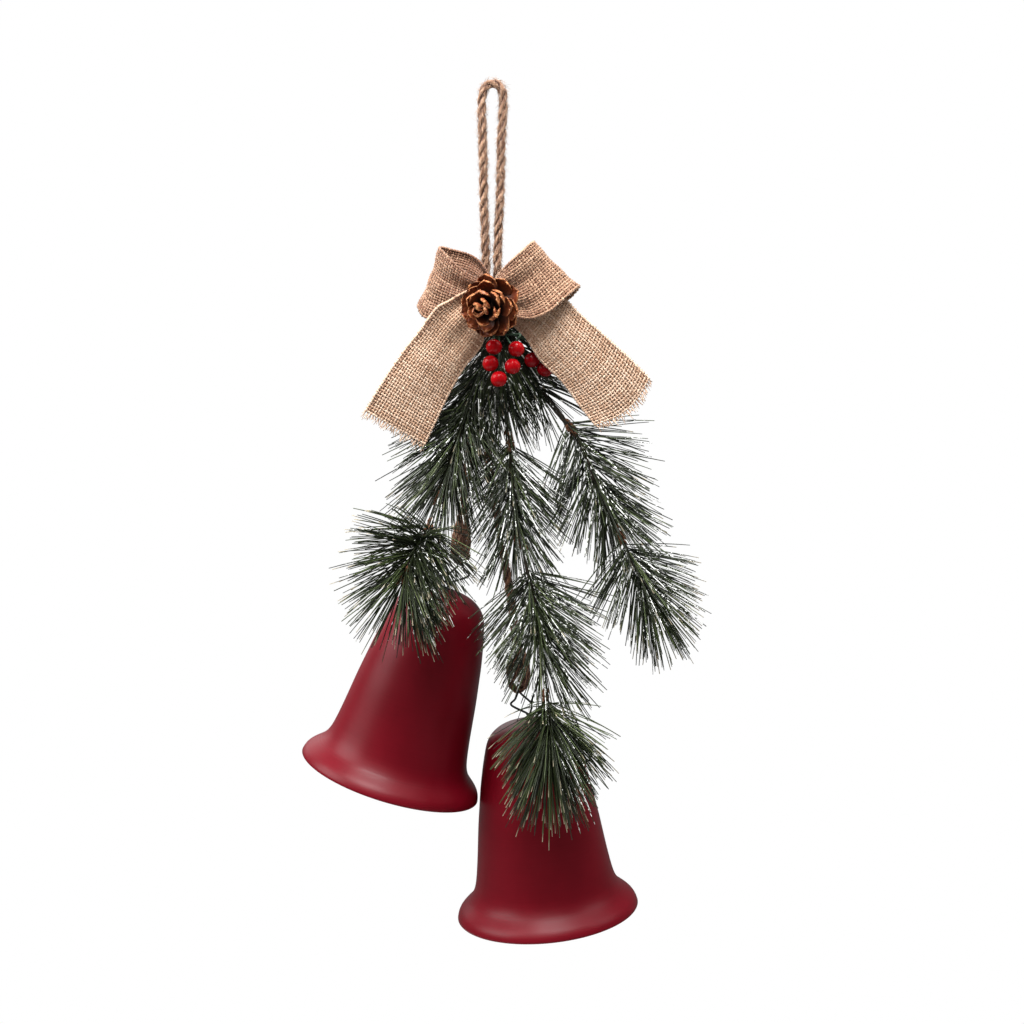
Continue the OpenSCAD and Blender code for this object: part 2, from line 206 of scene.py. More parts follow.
class Shape:
    """Gathers vertices, faces and one number per vertex and name, then makes one object."""

    def __init__(self):
        self.count = 0
        self.verts = []
        self.faces = []
        self.values = {}

    def add(self, verts, faces, **values):
        """verts are (..., 3), faces are arrays of vertex numbers, values fit the vertices."""
        verts = np.asarray(verts, float).reshape(-1, 3)
        for name, value in values.items():
            spread = np.broadcast_to(np.asarray(value, np.float32).ravel(), len(verts))
            self.values.setdefault(name, []).append(spread)
        self.verts.append(verts)
        self.faces += [np.asarray(f) + self.count for f in faces]
        self.count += len(verts)

    def build(self, name, finish, body, slot, flat=False):
        mesh = bpy.data.meshes.new(name)
        mesh.vertices.add(self.count)
        mesh.vertices.foreach_set("co", (np.vstack(self.verts) * MM).ravel())
        sizes = np.concatenate([np.full(len(f), f.shape[1]) for f in self.faces])
        corners = np.concatenate([f.ravel() for f in self.faces])
        mesh.loops.add(len(corners))
        mesh.loops.foreach_set("vertex_index", corners.astype(np.int32))
        mesh.polygons.add(len(sizes))
        starts = np.concatenate([[0], np.cumsum(sizes)[:-1]])
        mesh.polygons.foreach_set("loop_start", starts.astype(np.int32))
        mesh.polygons.foreach_set("use_smooth", np.full(len(sizes), not flat))
        for key, parts in self.values.items():
            layer = mesh.attributes.new(key, "FLOAT", "POINT")
            layer.data.foreach_set("value", np.concatenate(parts))
        mesh.update(calc_edges=True)
        mesh.validate()
        mesh.materials.append(finish)
        piece = bpy.data.objects.new(name, mesh)
        bpy.context.scene.collection.objects.link(piece)
        if body:
            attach(piece, body)
        return piece


def stand_in(shape, name, finish, body, slot, node):
    """Builds the shape as a piece that takes the place of a CAD node."""
    piece = shape.build(name, finish, body, slot)
    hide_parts(node)
    return piece


def grid_faces(index, wrap_rows=False, wrap_columns=False):
    """Quads between the neighbours of a (rows, columns) table of vertex numbers."""
    if wrap_rows:
        index = np.concatenate([index, index[:1]], 0)
    if wrap_columns:
        index = np.concatenate([index, index[:, :1]], 1)
    corners = [index[:-1, :-1], index[:-1, 1:], index[1:, 1:], index[1:, :-1]]
    return np.stack(corners, -1).reshape(-1, 4)


def closed_sheet(first, second):
    """Points and faces between two (rows, columns, 3) grids; the first one's order is kept."""
    rows, columns = first.shape[:2]
    index = np.arange(rows * columns).reshape(rows, columns)
    rim = np.concatenate([index[0], index[1:, -1], index[-1, -2::-1], index[-2:0:-1, 0]])
    inner = rim + rows * columns
    border = np.stack([np.roll(inner, -1), np.roll(rim, -1), rim, inner], -1)
    faces = [grid_faces(index), grid_faces(index)[:, ::-1] + rows * columns, border]
    return np.concatenate([first.reshape(-1, 3), second.reshape(-1, 3)]), faces


def tubes(paths, radius, sides):
    """Vertices (N, R, sides, 3) and faces of closed tubes round (N, R, 3) paths."""
    n, rings, _ = paths.shape
    _, u, v = frames(paths)
    angle = np.arange(sides) * TURN / sides
    out = (np.cos(angle)[:, None] * u[:, :, None] + np.sin(angle)[:, None] * v[:, :, None])
    radius = np.broadcast_to(radius, (n, rings))
    verts = paths[:, :, None] + radius[:, :, None, None] * out
    index = np.arange(n * rings * sides).reshape(n, rings, sides)
    near, far = index[:, :-1], index[:, 1:]
    walls = np.stack([near, np.roll(near, -1, 2), np.roll(far, -1, 2), far], -1)
    return verts, [walls.reshape(-1, 4), index[:, 0, ::-1], index[:, -1]]


def add_tubes(shape, paths, radius, sides, **values):
    """Tubes whose radius and values are numbers, or tables with one for each tube or ring."""
    verts, faces = tubes(paths, radius, sides)
    size = verts.shape[:3]
    values = {name: np.broadcast_to(np.asarray(value, float)[..., None], size)
              for name, value in values.items()}
    shape.add(verts, faces, **values)


def add_tube(shape, path, radius, sides=10, **values):
    """One tube round one path; radius is a number or one for each point."""
    add_tubes(shape, path[None], radius, sides, **values)


def add_ball(shape, centre, radii, rows, columns, axis, **values):
    """A ball with its poles along the axis; radii are the three half sizes."""
    lat = np.linspace(0, math.pi, rows + 1)[1:-1, None]
    lon = np.arange(columns)[None] * TURN / columns
    body = np.stack([np.sin(lat) * np.cos(lon), np.sin(lat) * np.sin(lon),
                     np.cos(lat) + 0 * lon], -1).reshape(-1, 3)
    points = np.vstack([body, [[0, 0, 1], [0, 0, -1]]]) * radii
    index = np.arange((rows - 1) * columns).reshape(rows - 1, columns)
    top, bottom = len(body), len(body) + 1
    first, last = index[0], index[-1]
    caps = [np.stack([first, np.roll(first, -1), np.full(columns, top)], -1),
            np.stack([np.roll(last, -1), last, np.full(columns, bottom)], -1)]
    walls = grid_faces(index, wrap_columns=True)[:, ::-1]
    shape.add(points @ standing_on(axis) + centre, [walls] + caps, **values)


# ---------- materials ----------

class Paint:
    """A material whose nodes are added one call at a time."""

    def __init__(self, name, **sockets):
        self.material = bpy.data.materials.new(name)
        self.material.use_nodes = True
        self.nodes = self.material.node_tree.nodes
        self.shader = self.nodes["Principled BSDF"]
        for socket, value in sockets.items():
            socket = socket.replace("_", " ").title().replace("Ior", "IOR")
            self.shader.inputs[socket].default_value = value

    def node(self, kind, inputs=None, **settings):
        made = self.nodes.new(kind)
        for key, value in settings.items():
            setattr(made, key, value)
        for key, value in (inputs or {}).items():
            if isinstance(value, bpy.types.NodeSocket):
                self.material.node_tree.links.new(value, made.inputs[key])
            else:
                made.inputs[key].default_value = value
        return made

    def link(self, output, socket):
        self.material.node_tree.links.new(output, self.shader.inputs[socket])

    def value(self, name):
        return self.node("ShaderNodeAttribute", attribute_name=name).outputs["Fac"]

    def place(self, stretch=(1, 1, 1)):
        """Object coordinates in millimetres, times the stretch."""
        where = self.node("ShaderNodeTexCoord").outputs["Object"]
        inputs = {0: where, 1: [s / MM for s in stretch]}
        return self.node("ShaderNodeVectorMath", inputs, operation="MULTIPLY").outputs[0]

    def noise(self, vector, scale, detail=3, roughness=0.55):
        inputs = {"Vector": vector, "Scale": scale, "Detail": detail, "Roughness": roughness}
        return self.node("ShaderNodeTexNoise", inputs).outputs["Fac"]

    def maths(self, operation, a, b=0.0, c=0.0):
        made = self.node("ShaderNodeMath", {0: a, 1: b, 2: c}, operation=operation)
        return made.outputs[0]

    def blend(self, a, share, b, other_share):
        """The sum of two factors, each times its share."""
        return self.maths("MULTIPLY_ADD", a, share, self.maths("MULTIPLY", b, other_share))

    def spread(self, value, low, high, to_low=0.0, to_high=1.0):
        inputs = {"Value": value, "From Min": low, "From Max": high, "To Min": to_low,
                  "To Max": to_high}
        return self.node("ShaderNodeMapRange", inputs).outputs["Result"]

    def ramp(self, factor, stops):
        """Colours by place, as (place, (r, g, b)) pairs."""
        made = self.node("ShaderNodeValToRGB", {"Fac": factor})
        for i, (place, colour) in enumerate(stops):
            stop = made.color_ramp.elements[i] if i < 2 else made.color_ramp.elements.new(place)
            stop.position = place
            stop.color = (*colour, 1)
        return made.outputs["Color"]

    def mix(self, factor, a, b):
        """Colour a where the factor is 0 and b where it is 1."""
        made = self.node("ShaderNodeMix", data_type="RGBA")
        for socket, value in ((made.inputs[0], factor), (made.inputs[6], a), (made.inputs[7], b)):
            if isinstance(value, bpy.types.NodeSocket):
                self.material.node_tree.links.new(value, socket)
            else:
                socket.default_value = (*value, 1)
        return made.outputs[2]

    def cloud(self, factor, a, b):
        """Colour a where the factor is low and b where it is high, as noise spreads it."""
        return self.ramp(factor, [(0.3, a), (0.7, b)])

    def bump(self, height, depth, strength):
        """Bumps the surface by up to depth millimetres."""
        inputs = {"Height": height, "Distance": depth * MM, "Strength": strength}
        self.link(self.node("ShaderNodeBump", inputs).outputs["Normal"], "Normal")


def bell_paint():
    """Satin burgundy enamel over spun sheet: faint lines run round it."""
    paint = Paint("bell_paint", roughness=0.38, specular_ior_level=0.15)
    height = paint.value("height")
    lines = paint.node("ShaderNodeTexNoise", {"W": height, "Scale": 1.4, "Detail": 3.0},
                       noise_dimensions="1D").outputs["Fac"]
    cloud = paint.noise(paint.place(), 0.035, 4)
    tone = paint.blend(lines, 0.35, cloud, 0.65)
    paint.link(paint.cloud(tone, (0.094, 0.0006, 0.0042), (0.122, 0.0014, 0.0066)),
               "Base Color")
    paint.link(paint.spread(lines, 0.3, 0.7, 0.36, 0.42), "Roughness")
    paint.bump(lines, 0.02, 0.6)
    return paint.material


def jute(name, groove_shade, low, middle, high):
    """Twisted fibre: pale on the outside of the lay and dark in its grooves, as painted shade by
    depth.
    """
    paint = Paint(name, roughness=0.88, sheen_weight=0.25, sheen_roughness=0.5)
    streak = paint.noise(paint.place((1, 1, 0.3)), 1.3, 4)
    streak = paint.spread(streak, 0.3, 0.7)
    tone = paint.blend(paint.value("tone"), 0.45, streak, 0.5)
    fibre = paint.ramp(tone, [(0.15, low), (0.5, middle), (0.85, high)])
    # Painted shade: yarns deeper in the rope take the dark groove colour
    depth = paint.spread(paint.value("deep"), 0.6, 0.98)
    paint.link(paint.mix(depth, groove_shade, fibre), "Base Color")
    paint.bump(paint.noise(paint.place((1, 1, 0.25)), 5.0, 3), 0.12, 0.7)
    return paint.material


def burlap():
    """Slubby natural yarn, each one a little lighter or darker than the next."""
    paint = Paint("burlap", roughness=0.9, sheen_weight=0.3, sheen_roughness=0.5)
    slub = paint.noise(paint.place(), 0.9, 4)
    # The tone attribute holds each yarn's own tone less the painted shade near the gathers
    tone = paint.blend(paint.value("tone"), 0.55, slub, 0.55)
    paint.link(paint.ramp(tone, [(0.15, (0.16, 0.065, 0.030)), (0.45, (0.44, 0.268, 0.167)),
                                 (0.85, (0.71, 0.54, 0.41))]), "Base Color")
    paint.bump(paint.noise(paint.place(), 4.0, 3), 0.15, 0.6)
    return paint.material


def burlap_shade_sheet():
    """Painted shade for the sheet behind the burlap's yarns: the dark seen between them."""
    paint = Paint("burlap_shade_sheet", roughness=0.95)
    shade = paint.noise(paint.place(), 0.5, 3)
    paint.link(paint.cloud(shade, (0.20, 0.105, 0.062), (0.31, 0.175, 0.108)), "Base Color")
    return paint.material


def needle_paint():
    """Dark green plastic, pale at the cut tip, under patchy white flocking."""
    paint = Paint("needles", roughness=0.55, specular_ior_level=0.25)
    green = paint.ramp(paint.value("tone"), [
        (0.0, (0.005, 0.007, 0.003)), (0.45, (0.017, 0.024, 0.008)), (0.8, (0.055, 0.078, 0.024)),
        (1.0, (0.15, 0.17, 0.085))])
    tipped = paint.mix(paint.value("tip"), green, (0.42, 0.36, 0.25))
    grain = paint.noise(paint.place(), 0.45, 4, 0.7)
    frost = paint.maths("ADD", paint.value("frost"), paint.spread(grain, 0.3, 0.7, -0.4, 0.4))
    patch = paint.spread(frost, 0.50, 0.58)
    paint.link(paint.mix(patch, tipped, (0.82, 0.83, 0.80)), "Base Color")
    paint.link(paint.spread(patch, 0.0, 1.0, 0.45, 0.95), "Roughness")
    return paint.material


def stem_paint():
    """Brown paper wound on wire, with rust-coloured buds."""
    paint = Paint("stem", roughness=0.85)
    grain = paint.noise(paint.place(), 0.8, 4)
    bark = paint.cloud(grain, (0.010, 0.009, 0.007), (0.045, 0.028, 0.017))
    bud = paint.cloud(grain, (0.07, 0.022, 0.010), (0.24, 0.10, 0.045))
    paint.link(paint.mix(paint.value("bud"), bark, bud), "Base Color")
    paint.bump(grain, 0.3, 0.7)
    return paint.material


def cone_paint():
    """Varnished scales: rust on the blade and tan along the lip, with painted shade near-black
    towards the heart.
    """
    paint = Paint("cone_scale", roughness=0.45, specular_ior_level=0.25)
    grain = paint.noise(paint.place(), 0.55, 4)
    blade = paint.cloud(grain, (0.09, 0.017, 0.006), (0.23, 0.052, 0.015))
    lip = paint.cloud(grain, (0.30, 0.085, 0.022), (0.66, 0.30, 0.12))
    # Painted shade: the inner part of each scale, deep in the cone, goes near-black
    heart = paint.mix(paint.spread(paint.value("out"), 0.4, 0.85), (0.010, 0.004, 0.003), blade)
    edge = paint.maths("ADD", paint.value("edge"), paint.spread(grain, 0.3, 0.7, -0.12, 0.12))
    paint.link(paint.mix(paint.spread(edge, 0.87, 1.1), heart, lip), "Base Color")
    paint.bump(grain, 0.25, 0.6)
    return paint.material


def berry_paint():
    paint = Paint("berry", roughness=0.16, specular_ior_level=0.11)
    cloud = paint.noise(paint.place(), 0.22, 3)
    red = paint.cloud(cloud, (0.24, 0.0012, 0.003), (0.35, 0.002, 0.005))
    # Painted shade: berries marked as in shade turn a darker red
    red = paint.mix(paint.value("ripe"), red, (0.07, 0.001, 0.003))
    paint.link(paint.mix(paint.value("bud"), red, (0.02, 0.015, 0.01)), "Base Color")
    paint.bump(cloud, 0.04, 0.3)
    return paint.material


def plain(name, low, high, grain, depth, **sockets):
    """A finish that clouds from one colour to another, with a fine bump."""
    paint = Paint(name, **sockets)
    cloud = paint.noise(paint.place(), grain, 4)
    paint.link(paint.cloud(cloud, low, high), "Base Color")
    paint.bump(cloud, depth, 0.6)
    return paint.material


def tape_paint():
    """Crêped paper tape wound round and round."""
    paint = Paint("floral_tape", roughness=0.8)
    wound = paint.node("ShaderNodeTexWave", {"Vector": paint.place((0.15, 0.15, 1)), "Scale": 0.11,
                                             "Distortion": 1.5, "Detail": 2.0},
                       bands_direction="Z").outputs["Fac"]
    creped = paint.noise(paint.place((1, 1, 0.2)), 2.0, 3)
    tone = paint.blend(wound, 0.6, creped, 0.4)
    paint.link(paint.ramp(tone, [(0.2, (0.012, 0.022, 0.010)), (0.8, (0.05, 0.075, 0.03))]),
               "Base Color")
    paint.bump(tone, 0.5, 0.8)
    return paint.material


# ---------- camera, first ----------

CAMERA_AIM = np.array([10.1, 0, -227.45])
CAMERA_DISTANCE = 900
CAMERA_PITCH = math.radians(7.5)
LENS_MM = 57.53


def make_camera():
    camera = bpy.data.cameras.new("camera")
    camera.lens = LENS_MM
    camera.sensor_width = 36
    camera.clip_start = 0.02
    camera.clip_end = 30
    eye = bpy.data.objects.new("camera", camera)
    back = np.array([0, -math.cos(CAMERA_PITCH), math.sin(CAMERA_PITCH)])
    eye.location = (CAMERA_AIM + CAMERA_DISTANCE * back) * MM
    eye.rotation_euler = (math.pi / 2 - CAMERA_PITCH, 0, 0)
    bpy.context.scene.collection.objects.link(eye)
    bpy.context.scene.camera = eye


# ---------- cords ----------

STRANDS = 3
STRAND_OUT = 1.15
YARNS = 8
YARN_OUT = 0.85
YARN_R = 0.42
LAY = 21
YARN_LAY = -13
HAIR_CURL = 0.3


def wound(path, out, lay, phase):
    """A path that winds round another, to the right where the lay is positive."""
    _, u, v = (a[0] for a in frames(path[None]))
    angle = (TURN * reach(path) / lay + phase)[:, None]
    return path + out * (np.cos(angle) * u + np.sin(angle) * v)


def rope_yarns(centre, seed, size):
    """Paths of all the yarns of a rope, with the radius of each at each point."""
    rng = np.random.default_rng(seed)
    along = reach(centre)
    paths, radii = [], []
    for k in range(STRANDS):
        slack = (1 + 0.22 * wobble(along, seed + 5 * k, 15))[:, None]
        strand = wound(centre, STRAND_OUT * size * slack, LAY * size, TURN * k / STRANDS)
        for j in range(YARNS):
            loose = (1 + 0.22 * wobble(along, seed + 50 * k + j, 7))[:, None]
            paths.append(wound(strand, YARN_OUT * size * loose, YARN_LAY * size,
                               TURN * (j + rng.uniform(-0.2, 0.2)) / YARNS))
            radii.append(YARN_R * size * (1 + 0.22 * wobble(along, seed + 99 * k + j, 6)))
        paths.append(strand)
        radii.append(np.full(len(along), 0.55 * size))
    return np.array(paths), np.array(radii)


def add_rope(shape, centre, seed, size=1.0):
    """A rope round a path: yarns laid into strands, and the strands laid together."""
    rng = np.random.default_rng(seed)
    paths, radii = rope_yarns(centre, seed, size)
    verts, faces = tubes(paths, radii, 6)
    tone = rng.uniform(0, 1, (len(paths), 1)) + 0.25 * wobble(reach(centre), seed + 7, 18)[None]
    tone = np.broadcast_to(np.clip(tone, 0, 1)[..., None], verts.shape[:3])
    # How far out each point lies, which sets the painted shade in the grooves
    deep = np.linalg.norm(verts - centre[None, :, None], axis=-1) / (CORD_D / 2 * size)
    shape.add(verts, faces, tone=tone, deep=deep)


def add_hairs(shape, roots, ways, lengths, radius, seed):
    """Loose fibres that leave their roots along the given ways and curl as they go."""
    rng = np.random.default_rng(seed)
    rings = 5
    side = unit(rng.normal(size=(len(roots), 3)))
    t = np.linspace(0, 1, rings)[None, :, None]
    lengths = np.asarray(lengths)[:, None, None]
    paths = roots[:, None] + lengths * (t * unit(ways)[:, None] + HAIR_CURL * t**2 * side[:, None])
    taper = radius * np.linspace(1, 0.45, rings)[None]
    add_tubes(shape, paths, taper, 3, tone=rng.uniform(0, 1, (len(roots), 1)), deep=1)


def add_fuzz(shape, centre, count, seed):
    """Fibres of a rope's skin: most lie askew on it, and some stand off."""
    rng = np.random.default_rng(seed)
    t, u, v = (a[0] for a in frames(centre[None]))
    for number, stand, length, radius in ((4 * count, 0.16, (1.2, 3.2), 0.10),
                                          (count, 0.5, (1.0, 3.6), 0.055)):
        at = rng.integers(0, len(centre), number)
        angle = rng.uniform(0, TURN, number)[:, None]
        out = np.cos(angle) * u[at] + np.sin(angle) * v[at]
        round_it = np.cross(t[at], out)
        roots = centre[at] + 0.90 * CORD_D / 2 * out
        ways = stand * out + t[at] + rng.normal(0.35, 0.35, (number, 1)) * round_it
        ways = ways * rng.choice([-1, 1], (number, 1)) + 2 * stand * out
        add_hairs(shape, roots, ways, rng.uniform(*length, number), radius, seed + 1)


def make_cord(name, route, body, seed, fuzz, finish, node):
    """A cord with its fuzz, standing for its CAD node."""
    centre = smooth(route, 1.1)
    rope = Shape()
    add_rope(rope, centre, seed)
    cord = stand_in(rope, name, finish, body, "jute_cord", node)
    fluff = Shape()
    add_fuzz(fluff, centre, fuzz, seed + 11)
    fluff = fluff.build(name + "_fuzz", finish, body, "jute_cord")


def ring_path(centre, radius, start, turns, squeeze=1.0, step=1.0):
    """Turns round a ring that faces the front, from an angle."""
    count = max(8, round(TURN * radius * turns / step))
    angle = start + np.linspace(0, TURN * turns, count)
    flat = np.stack([radius * squeeze * np.cos(angle), 0 * angle, radius * np.sin(angle)], -1)
    return centre + flat


def make_husk(shape, spine, radius, count, thick, seed):
    """Unravelled fibres that bulge out round the end of a rope and close below it."""
    rng = np.random.default_rng(seed)
    rings, steps = 9, 60
    spine = resample(spine, steps)
    t, u, v = (a[0] for a in frames(spine[None]))
    first = rng.uniform(0, 0.62, (count, 1))
    last = np.minimum(first + rng.uniform(0.3, 0.6, (count, 1)), rng.uniform(0.9, 1.06, (count, 1)))
    share = first + (last - first) * np.linspace(0, 1, rings)[None]
    at = np.clip(np.rint(share * (steps - 1)).astype(int), 0, steps - 1)
    bulge = np.interp(share, [0, 0.3, 0.66, 0.88, 1.06], [0.42, 0.62, 1, 0.86, 0.35])
    depth = rng.uniform(0.45, 1.0, (count, 1))
    angle = rng.uniform(0, TURN, (count, 1)) + 1.1 * share + 0.22 * wobble(
        share * 30 + rng.uniform(0, 900, (count, 1)), seed, 9)
    out = np.cos(angle)[..., None] * u[at] + np.sin(angle)[..., None] * v[at]
    past = np.maximum(share - 1, 0)[..., None] * reach(spine)[-1] * t[-1]
    paths = spine[at] + past + (radius * bulge * depth)[..., None] * out
    width = thick * rng.uniform(0.7, 1.3, (count, 1))
    tone = rng.uniform(0, 1, (count, 1)) + 0.45 * (0.6 - share)
    # Fibres nearer the core get more painted shade
    add_tubes(shape, paths, width, 4, tone=np.clip(tone, 0, 1), deep=0.35 + 0.6 * depth)


def make_knot(name, eye, eye_r, seed, husks):
    """The cord's end, bent back into an eye, bound with its own turns and frayed."""
    eye = np.array(eye)
    size = 0.86
    top = eye + [0, 0, 2 * eye_r + 2]
    bend = ring_path(eye + [0, 0, eye_r], eye_r, 0.42 * TURN, 0.66, squeeze=0.9)
    back = top + np.array([(-1.5, -1.5, 2), (-2.4, -2.2, 6), (-2.2, -2.4, 11)])
    down = top + np.array([(1.2, 0.5, 14), (1.4, 0.6, 8), (1.3, 0.3, 2.5)])
    loop = Shape()
    add_rope(loop, smooth(np.vstack([down, bend[::-1], back]), 1.0), seed, size)
    knot_eye = stand_in(loop, name + "_eye_rope", BROWN_JUTE, name, "jute_cord", name + "_eye")

    turns, wrap_r = 2.6, 3.2
    angle = np.linspace(0, TURN * turns, 60)
    rise = np.linspace(2.2, 9.5, 60)
    coil = np.stack([wrap_r * np.cos(angle), wrap_r * np.sin(angle), rise], -1) + top
    wraps = Shape()
    add_rope(wraps, smooth(coil, 1.0), seed + 3, 0.52)
    for k, (high, low, radius, count) in enumerate(husks):
        high, low = eye + high, eye + low
        spine = smooth([high, (high + low) / 2 + [0.4, -0.3, 0], low], 1)
        make_husk(wraps, spine, radius, count, 0.24, seed + 10 * k)
    knot = stand_in(wraps, name + "_knot_wraps", BROWN_JUTE, name, "jute_cord", name + "_knot")
    return [knot_eye, knot]


# ---------- bells, hangers ----------

def bell_outline():
    """The closed outline of the sheet as radius and height, with a rounded lip."""
    shares = np.array(BELL_PROFILE) * (BELL_R, BELL_H)
    flat = np.column_stack([shares[:, 0], np.zeros(len(shares)), shares[:, 1]])
    outer = smooth(flat, 1.4)[:, [0, 2]]
    for _ in range(2):
        outer[1:-1] = (outer[:-2] + 2 * outer[1:-1] + outer[2:]) / 4
    along = unit(np.gradient(outer, axis=0))
    inner = outer - BELL_WALL * np.column_stack([along[:, 1], -along[:, 0]])
    inner[-1, 0] = CROWN_HOLE_R
    inner = inner[1:]
    lip_mid = outer[0] + [-BELL_WALL / 2, 0]
    angle = np.linspace(0, math.pi, 7)[1:-1, None]
    lip = lip_mid + BELL_WALL / 2 * np.hstack([-np.cos(angle), 0.35 * -np.sin(angle)])
    return np.vstack([outer, inner[::-1], lip])


def make_bell(name, mouth, lean):
    outline = bell_outline()
    segments = 200
    angle = np.arange(segments) * TURN / segments
    r, z = outline[:, 0][:, None], outline[:, 1][:, None]
    points = np.stack([r * np.cos(angle), r * np.sin(angle), z + 0 * angle], -1)
    index = np.arange(len(outline) * segments).reshape(len(outline), segments)
    shape = Shape()
    shape.add(leaning(points, mouth, lean), [grid_faces(index, True, True)[:, ::-1]],
              height=points[..., 2])
    stand_in(shape, name + "_shell", BELL, name, "bell_paint", name)


def make_hanger(side, eye, mouth, lean, out):
    """The open wire diamond between the rope's eye and the crown, its shank and small eye."""
    eye = np.array(eye)
    over = CORD_D / 2 * 0.9 + WIRE_D / 2 + 0.2
    crown = leaning([0, 0, BELL_H + 2], mouth, lean)
    arch = [eye + over * np.array([0, math.cos(a), math.sin(a)])
            for a in np.linspace(math.pi, 0, 7)]
    front = [crown, crown + [-0.6 * out, -0.4, 1.6], eye + [-3.8 * out, -2.2, -8.2],
             eye + [-1.6 * out, -over, -4.5]]
    corner = eye + [7.6 * out, 1.6, -8.2]
    back = [eye + [1.8 * out, over, -3], corner, crown + [1.6 * out, 0.3, 3.0],
            crown + [0.5 * out, 0.2, 0]]
    shape = Shape()
    add_tube(shape, smooth(front + arch + back, 0.6), WIRE_D / 2)
    tail = [corner, eye + [8.6 * out, 2.0, -4], eye + [10.6 * out, 2.4, 1.6],
            eye + [11.6 * out, 2.2, 4.2]]
    add_tube(shape, smooth(tail, 0.6), WIRE_D / 2 * 0.95)
    shank = np.linspace(BELL_H + 3.4, PIVOT_Z + INNER_EYE_R, 40)[:, None] * [0, 0, 1.0]
    for phase in (0, math.pi):
        add_tube(shape, leaning(wound(shank, 0.6, 5.5, phase), mouth, lean), 0.52)
    ring = ring_path(np.array([0, 0, PIVOT_Z]), INNER_EYE_R, math.pi / 2, 1, step=0.5)
    add_tube(shape, leaning(ring, mouth, lean), WIRE_D / 2)
    stand_in(shape, side + "_wire", BLACK_WIRE, side + "_hanger", "black_wire",
             side + "_wire_hanger")


# ---------- bow ----------

THREAD_PITCH = 1.65
THREAD_R = 0.56
RIBBON_W = 38
WEAVE_LIFT = 0.34
# Half the thickness of the sheet of painted shade behind the weave
SHADE_SHEET_HALF = 0.09
PLEAT_DEPTH = 2.6
PLEAT_REACH = 13
# How far the painted shade reaches from a gather, in millimetres
PLEAT_SHADE_REACH = 27
# How the selvedge's yarns differ in tone, from the outermost inwards
SELVEDGE_TONES = (0.05, -0.42, -0.15, 0)


